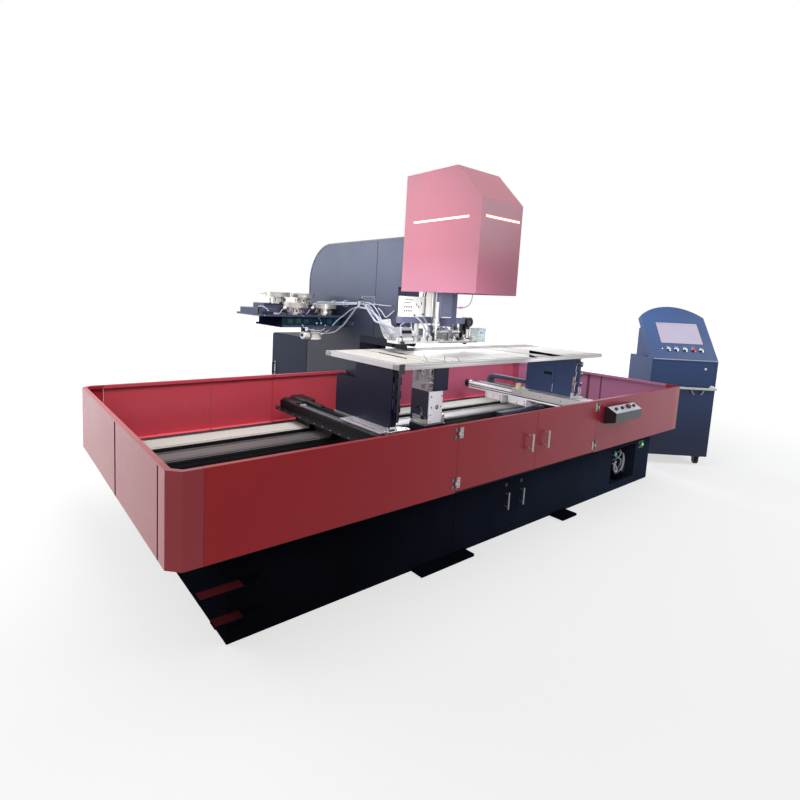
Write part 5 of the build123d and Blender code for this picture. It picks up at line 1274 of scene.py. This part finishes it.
def slope(x):
    """Frame of a button on the button box, x along the box, standing on its sloping plate."""
    drop, tilt = 40.4, math.radians(27)
    return (MACHINE @ Matrix.Translation((x, -20 - drop * math.cos(tilt), 796 - drop * math.sin(tilt)))
            @ Matrix.Rotation(tilt, 4, "X"))


def button_box_details():
    """Rings, label plates and caps of the four buttons, the box's screws and gland."""
    spots = [3178 + 408 * part for part in (0.13, 0.36, 0.585, 0.815)]
    rings = Piece("box_button_rings")
    for x in spots:
        rings.place = slope(x)
        rings.ring(chrome, (0, 0, 0), Z, 17, 12.2, 3, 6)
    for x in (3188, 3576):
        rings.place = slope(x)
        rings.screws(bright_steel, [(0, dy, 3) for dy in (-30, 30)], Z, 3, 1.2)
    rings.done("machine", "steel")
    face = Piece("box_face")
    face.place = slope(3382)
    face.box(face_white, -203, 203, -39.4, 39.4, 2.8, 3.3, 0.1)
    for x in spots:
        face.place = slope(x)
        face.box(face_grey, -14, 14, 24, 31, 3.2, 3.5, 0.05)
    face.done("machine", "white_metal")
    for name, x in zip(("start", "reset", "stop", "clamp"), spots):
        if name == "stop":
            cap = Piece("box_stop_cap", slope(x))
            cap.lathe(stop_dark, (0, 0, 25), Z, [(20, 0), (20, 1), (18.5, 3), (12, 4.4), (0, 4.8)], 28)
            cap.ring(stop_dark, (0, 0, 11), Z, 21, 19.5, 2, 10)
            cap.done("box_stop_button", "red_cap")
        else:
            cap = Piece("box_" + name + "_cap", slope(x))
            cap.lathe(black_plastic, (0, 0, 19), Z,
                      [(13, 0), (12.4, 1.2), (10, 1.2), (9.4, 0.5), (0, 0.5)], 24)
            cap.done("box_button_" + name, "black_cap")
    gland = Piece("box_gland")
    gland.rod(black_plastic, (3540, -40, 692), (3540, -40, 676), 11, 16)
    gland.done("machine", "black_rubber")


# On the console: y of the row of buttons, height of the castors' axles
BUTTON_ROW, AXLE_Z = 118, 37.5


def console_details():
    """Screen, button bezels, lock, seams, keyboard and mouse, and the castors' hubs and bolts."""
    screen = Piece("screen_glass", PANEL)
    screen.box(screen_light, 131, 548, 195, 449, -4, -1.6, 0.4)
    screen.done("machine", "white_plastic")
    bezel = Piece("screen_bezel", PANEL)
    for x0, x1, y0, y1 in ((126, 131.5, 190, 454), (547.5, 553, 190, 454), (126, 553, 190, 195.5),
                           (126, 553, 448.5, 454)):
        bezel.box(bezel_grey, x0, x1, y0, y1, -4, 0.6, 0.5)
    bezel.boxes(screen_line, 0.1, (140, 236, 436, 438.4, -1.7, -1.2), (138, 541, 428, 429.2, -1.7, -1.3))
    bezel.done("machine", "black_cap")

    rings = Piece("panel_button_rings", PANEL)
    for x in (184, 261, 348, 430, 506):
        rings.ring(chrome, (x, BUTTON_ROW, 0), Z, 18.5, 12.2, -0.2, 3)
        rings.box(panel_label, x - 13, x + 13, 145, 153, -0.2, 0.5, 0.1)
    rings.rod(chrome, (122, 122, -1), (122, 122, 3), 5, 16)
    rings.done("machine", "steel")
    for name, x, look in (("console_button_1", 184, button_blue), ("console_button_2", 261, button_blue),
                          ("console_button_3", 348, button_cream), ("console_stop_button", 430, stop_red),
                          ("console_button_5", 506, button_blue)):
        cap = Piece(name + "_cap", PANEL)
        if look is stop_red:
            cap.lathe(look, (x, BUTTON_ROW, 17), Z, [(15, 0), (15, 2), (13, 5), (7, 6.4), (0, 6.8)], 26)
            cap.ring(look, (x, BUTTON_ROW, 9), Z, 17.5, 14.6, 0, 8)
        else:
            cap.lathe(look, (x, BUTTON_ROW, 17), Z,
                      [(15, 0), (14, 1.4), (10.5, 1.4), (9.6, 0.4), (0, 0.4)], 26)
        cap.done(name, "black_cap")

    trim = Piece("console_trim", CONSOLE)
    # A pale rod along the fold stands for the highlight on the bend: a painted highlight.
    trim.rod(fold_highlight_paint, (6, -1.5, 1063), (634, -1.5, 1063), 6, 16, 2)
    trim.boxes(seam_blue, 0.3, (22, 618, -1.2, 0.4, 1046, 1047.4), (22, 618, -1.2, 0.4, 818, 819.4),
               (22, 23.4, -1.2, 0.4, 818, 1047.4), (616.6, 618, -1.2, 0.4, 818, 1047.4))
    trim.ring(chrome, (523, 0, 984), FRONT, 11, 5, 0, 4)
    trim.rod(dark_slot, (523, 0, 984), (523, -2.4, 984), 5, 12)
    for z in range(240, 420, 18):
        trim.boxes(dark_slot, 0.6, (180, 460, 449, 451.2, z, z + 7), (639, 641.2, 120, 330, z, z + 7),
                   (-1.2, 1, 120, 330, z, z + 7))
    trim.rod(black_plastic, (320, 452, 140), (320, 474, 140), 14, 18)
    spots = [(x + dx, y + dy, 95) for x in (60, 580) for y in (60, 390)
             for dx in (-22, 22) for dy in (-22, 22)]
    trim.screws(bright_steel, spots, DOWN, 4, 3)
    trim.done("machine", "grey_blue_paint")

    drawer = Piece("keyboard_and_mouse", CONSOLE)
    drawer.box(black_plastic, 60, 500, 60, 200, 797, 811, 4)
    for row in range(5):
        for column in range(15):
            x = 70 + 28 * column
            drawer.box(grey_cap, x, x + 24, 70 + 24 * row, 90 + 24 * row, 810, 816, 2)
    drawer.box(drawer_lip, 16, 636, -35.2, -32, 778, 799.6, 1)
    drawer.lathe(white_plastic, (598, -14, 798), Z, [(20, 0), (22, 6), (20, 15), (13, 22), (0, 25)], 24)
    drawer.box(white_plastic, 560, 630, -32, -16, 796, 801, 2)
    drawer.tube(grey_rubber, [(598, -4, 804), (602, 30, 802), (570, 80, 800), (540, 140, 800),
                              (520, 200, 800)], 2)
    drawer.done("keyboard_drawer", "aluminium")

    for name, x, y in (("front_left", 60, 82), ("front_right", 580, 82), ("rear_left", 60, 390),
                       ("rear_right", 580, 390)):
        hub = Piece("castor_wheel_" + name + "_hub", CONSOLE)
        for side in (-1, 1):
            hub.ring(jet_metal, (x + 12.4 * side, y, AXLE_Z), (side, 0, 0), 25, 7, 0, 2.4, 28)
            hub.ring(grey_metal, (x + 12.4 * side, y, AXLE_Z), (side, 0, 0), 12, 6.4, 2, 4.4, 20)
        hub.done("castor_wheel_" + name, "black_rubber")
    for name, x in (("castor_fork_left", 60), ("castor_fork_right", 580)):
        fork = Piece(name + "_fittings", CONSOLE)
        for side in (-1, 1):
            fork.lathe(grey_metal, (x + 22 * side, 82, AXLE_Z), (side, 0, 0),
                       [(8, 0), (8, 5), (7, 6), (0, 6)], 6)
        fork.ring(jet_metal, (x, 60, 82), Z, 31, 22, 0, 5, 28)
        fork.box(rubber, x - 16, x + 16, 110, 128, 52, 60, 3)
        fork.done(name, "zinc")


def floor():
    """Pale floor: white to the eye where nothing shades it, grey under the object."""
    made = bpy.data.meshes.new("floor")
    shape = bmesh.new()
    bmesh.ops.create_circle(shape, cap_ends=True, segments=96, radius=26)
    shape.to_mesh(made)
    shape.free()
    ground = bpy.data.objects.new("floor", made)
    ground.location = (0, 0, -0.0015)
    bpy.context.scene.collection.objects.link(ground)
    pale = Finish("floor_pale")
    shader = pale.shader
    shader.inputs["Base Color"].default_value = (0.42, 0.42, 0.42, 1)
    shader.inputs["Roughness"].default_value = 0.9
    shader.inputs["Specular IOR Level"].default_value = 0.0
    path = pale.node("LightPath")
    seen = pale.math("MAXIMUM", path.outputs["Is Camera Ray"], path.outputs["Is Glossy Ray"])
    seen = pale.math("MAXIMUM", seen, path.outputs["Is Transmission Ray"])
    length = pale.node("VectorMath", operation="LENGTH")
    pale.link(pale.place, length.inputs[0])
    away = pale.node("MapRange")
    pale.link(length.outputs["Value"], away.inputs["Value"])
    for key, value in (("From Min", 3.5), ("From Max", 9.0), ("To Min", 0.62), ("To Max", 1.0)):
        away.inputs[key].default_value = value
    shader.inputs["Emission Color"].default_value = (1, 1, 1, 1)
    pale.link(pale.math("MULTIPLY", seen, away.outputs[0]), shader.inputs["Emission Strength"])
    made.materials.append(pale.material)


def backdrop():
    """White to the eye and in gloss and glass, a soft dimmer light on the surfaces."""
    world = bpy.data.worlds.new("studio")
    bpy.context.scene.world = world
    world.use_nodes = True
    tree = world.node_tree
    back = tree.nodes["Background"]
    path = tree.nodes.new("ShaderNodeLightPath")
    last = path.outputs["Is Camera Ray"]
    for kind in ("Is Glossy Ray", "Is Transmission Ray"):
        most = tree.nodes.new("ShaderNodeMath")
        most.operation = "MAXIMUM"
        tree.links.new(last, most.inputs[0])
        tree.links.new(path.outputs[kind], most.inputs[1])
        last = most.outputs[0]
    level = tree.nodes.new("ShaderNodeMapRange")
    tree.links.new(last, level.inputs["Value"])
    level.inputs["To Min"].default_value = 0.34
    level.inputs["To Max"].default_value = 1.0
    tree.links.new(level.outputs[0], back.inputs["Strength"])
    back.inputs["Color"].default_value = (1, 1, 1, 1)


def softbox(name, centre, target, width, height, radiance, colour=(1, 1, 1), spread=180):
    """A soft rectangular lamp, given by how bright its face is."""
    data = bpy.data.lights.new(name, "AREA")
    data.shape = "RECTANGLE"
    data.size = width
    data.size_y = height
    data.energy = radiance * math.pi * width * height
    data.color = colour
    data.spread = math.radians(spread)
    lamp = bpy.data.objects.new(name, data)
    lamp.location = centre
    lamp.rotation_euler = (Vector(target) - Vector(centre)).to_track_quat("-Z", "Y").to_euler()
    lamp.visible_camera = False
    bpy.context.scene.collection.objects.link(lamp)


def camera():
    """The photo's camera: its place, turn and lens."""
    data = bpy.data.cameras.new("camera")
    data.sensor_width = 36
    data.lens = 22.617
    data.shift_x = 0.0412
    data.shift_y = -0.0567
    data.clip_end = 200
    yaw, pitch, roll = math.radians(38.112), math.radians(-6.506), math.radians(2.83)
    forward = Vector((math.sin(yaw) * math.cos(pitch), math.cos(yaw) * math.cos(pitch), math.sin(pitch)))
    level = Vector((math.cos(yaw), -math.sin(yaw), 0))
    upright = level.cross(forward)
    right = level * math.cos(roll) + upright * math.sin(roll)
    up = upright * math.cos(roll) - level * math.sin(roll)
    turn = Matrix((right, up, -forward)).transposed().to_4x4()
    seen_by = bpy.data.objects.new("camera", data)
    seen_by.matrix_world = Matrix.Translation((-2.83498, -2.76056, 1.52582)) @ turn
    bpy.context.scene.collection.objects.link(seen_by)
    bpy.context.scene.camera = seen_by


head_details()
feed_details()
table_details()
die_tower_details()
module_details()
upright_details()
feeder_details()
frame_details()
base_details()
button_box_details()
console_details()
floor()
backdrop()
camera()
softbox("left_window", (-4.7, 4.7, 3.1), (-0.2, 0.4, 1.7), 5.2, 3.2, 4.6, (0.94, 0.96, 1.0))
softbox("left_front", (-5.2, -3.4, 3.6), (-0.8, 0, 0.9), 2.6, 2.6, 2.4)
softbox("right_front", (3.6, -3.7, 3.6), (1.4, 0, 1.3), 1.6, 3.0, 4.6, (0.9, 0.95, 1.0))
softbox("overhead", (-0.3, -0.1, 4.2), (0.1, 0.8, 0.6), 5.2, 1.6, 1.7)
softbox("tray_left", (-1.35, -0.45, 2.5), (-1.25, 0.95, 0.6), 1.9, 0.8, 3.2, (1.0, 0.98, 1.0), 95)
softbox("tray_right", (1.45, -0.4, 2.5), (1.9, 0.95, 0.6), 1.7, 0.8, 2.6, (0.92, 0.94, 1.0), 100)
softbox("fill_module", (0.35, -0.45, 1.0), (1.4, 0.1, 0.66), 0.9, 0.14, 9, (0.98, 0.98, 1.0), 120)
softbox("fill_tower", (-0.45, -0.8, 0.95), (-0.1, -0.1, 0.68), 0.4, 0.12, 6.5, (0.96, 0.97, 1.0), 100)
softbox("fill_tools", (-0.95, -1.35, 1.5), (-0.1, 0.05, 1.42), 0.5, 0.3, 2.6, (1, 1, 1), 45)
softbox("tray_rear", (2.6, 3.0, 2.3), (1.0, 0.1, 0.6), 2.4, 1.0, 2.4, (0.94, 0.96, 1.0), 70)

bpy.context.scene.view_settings.view_transform = "Standard"
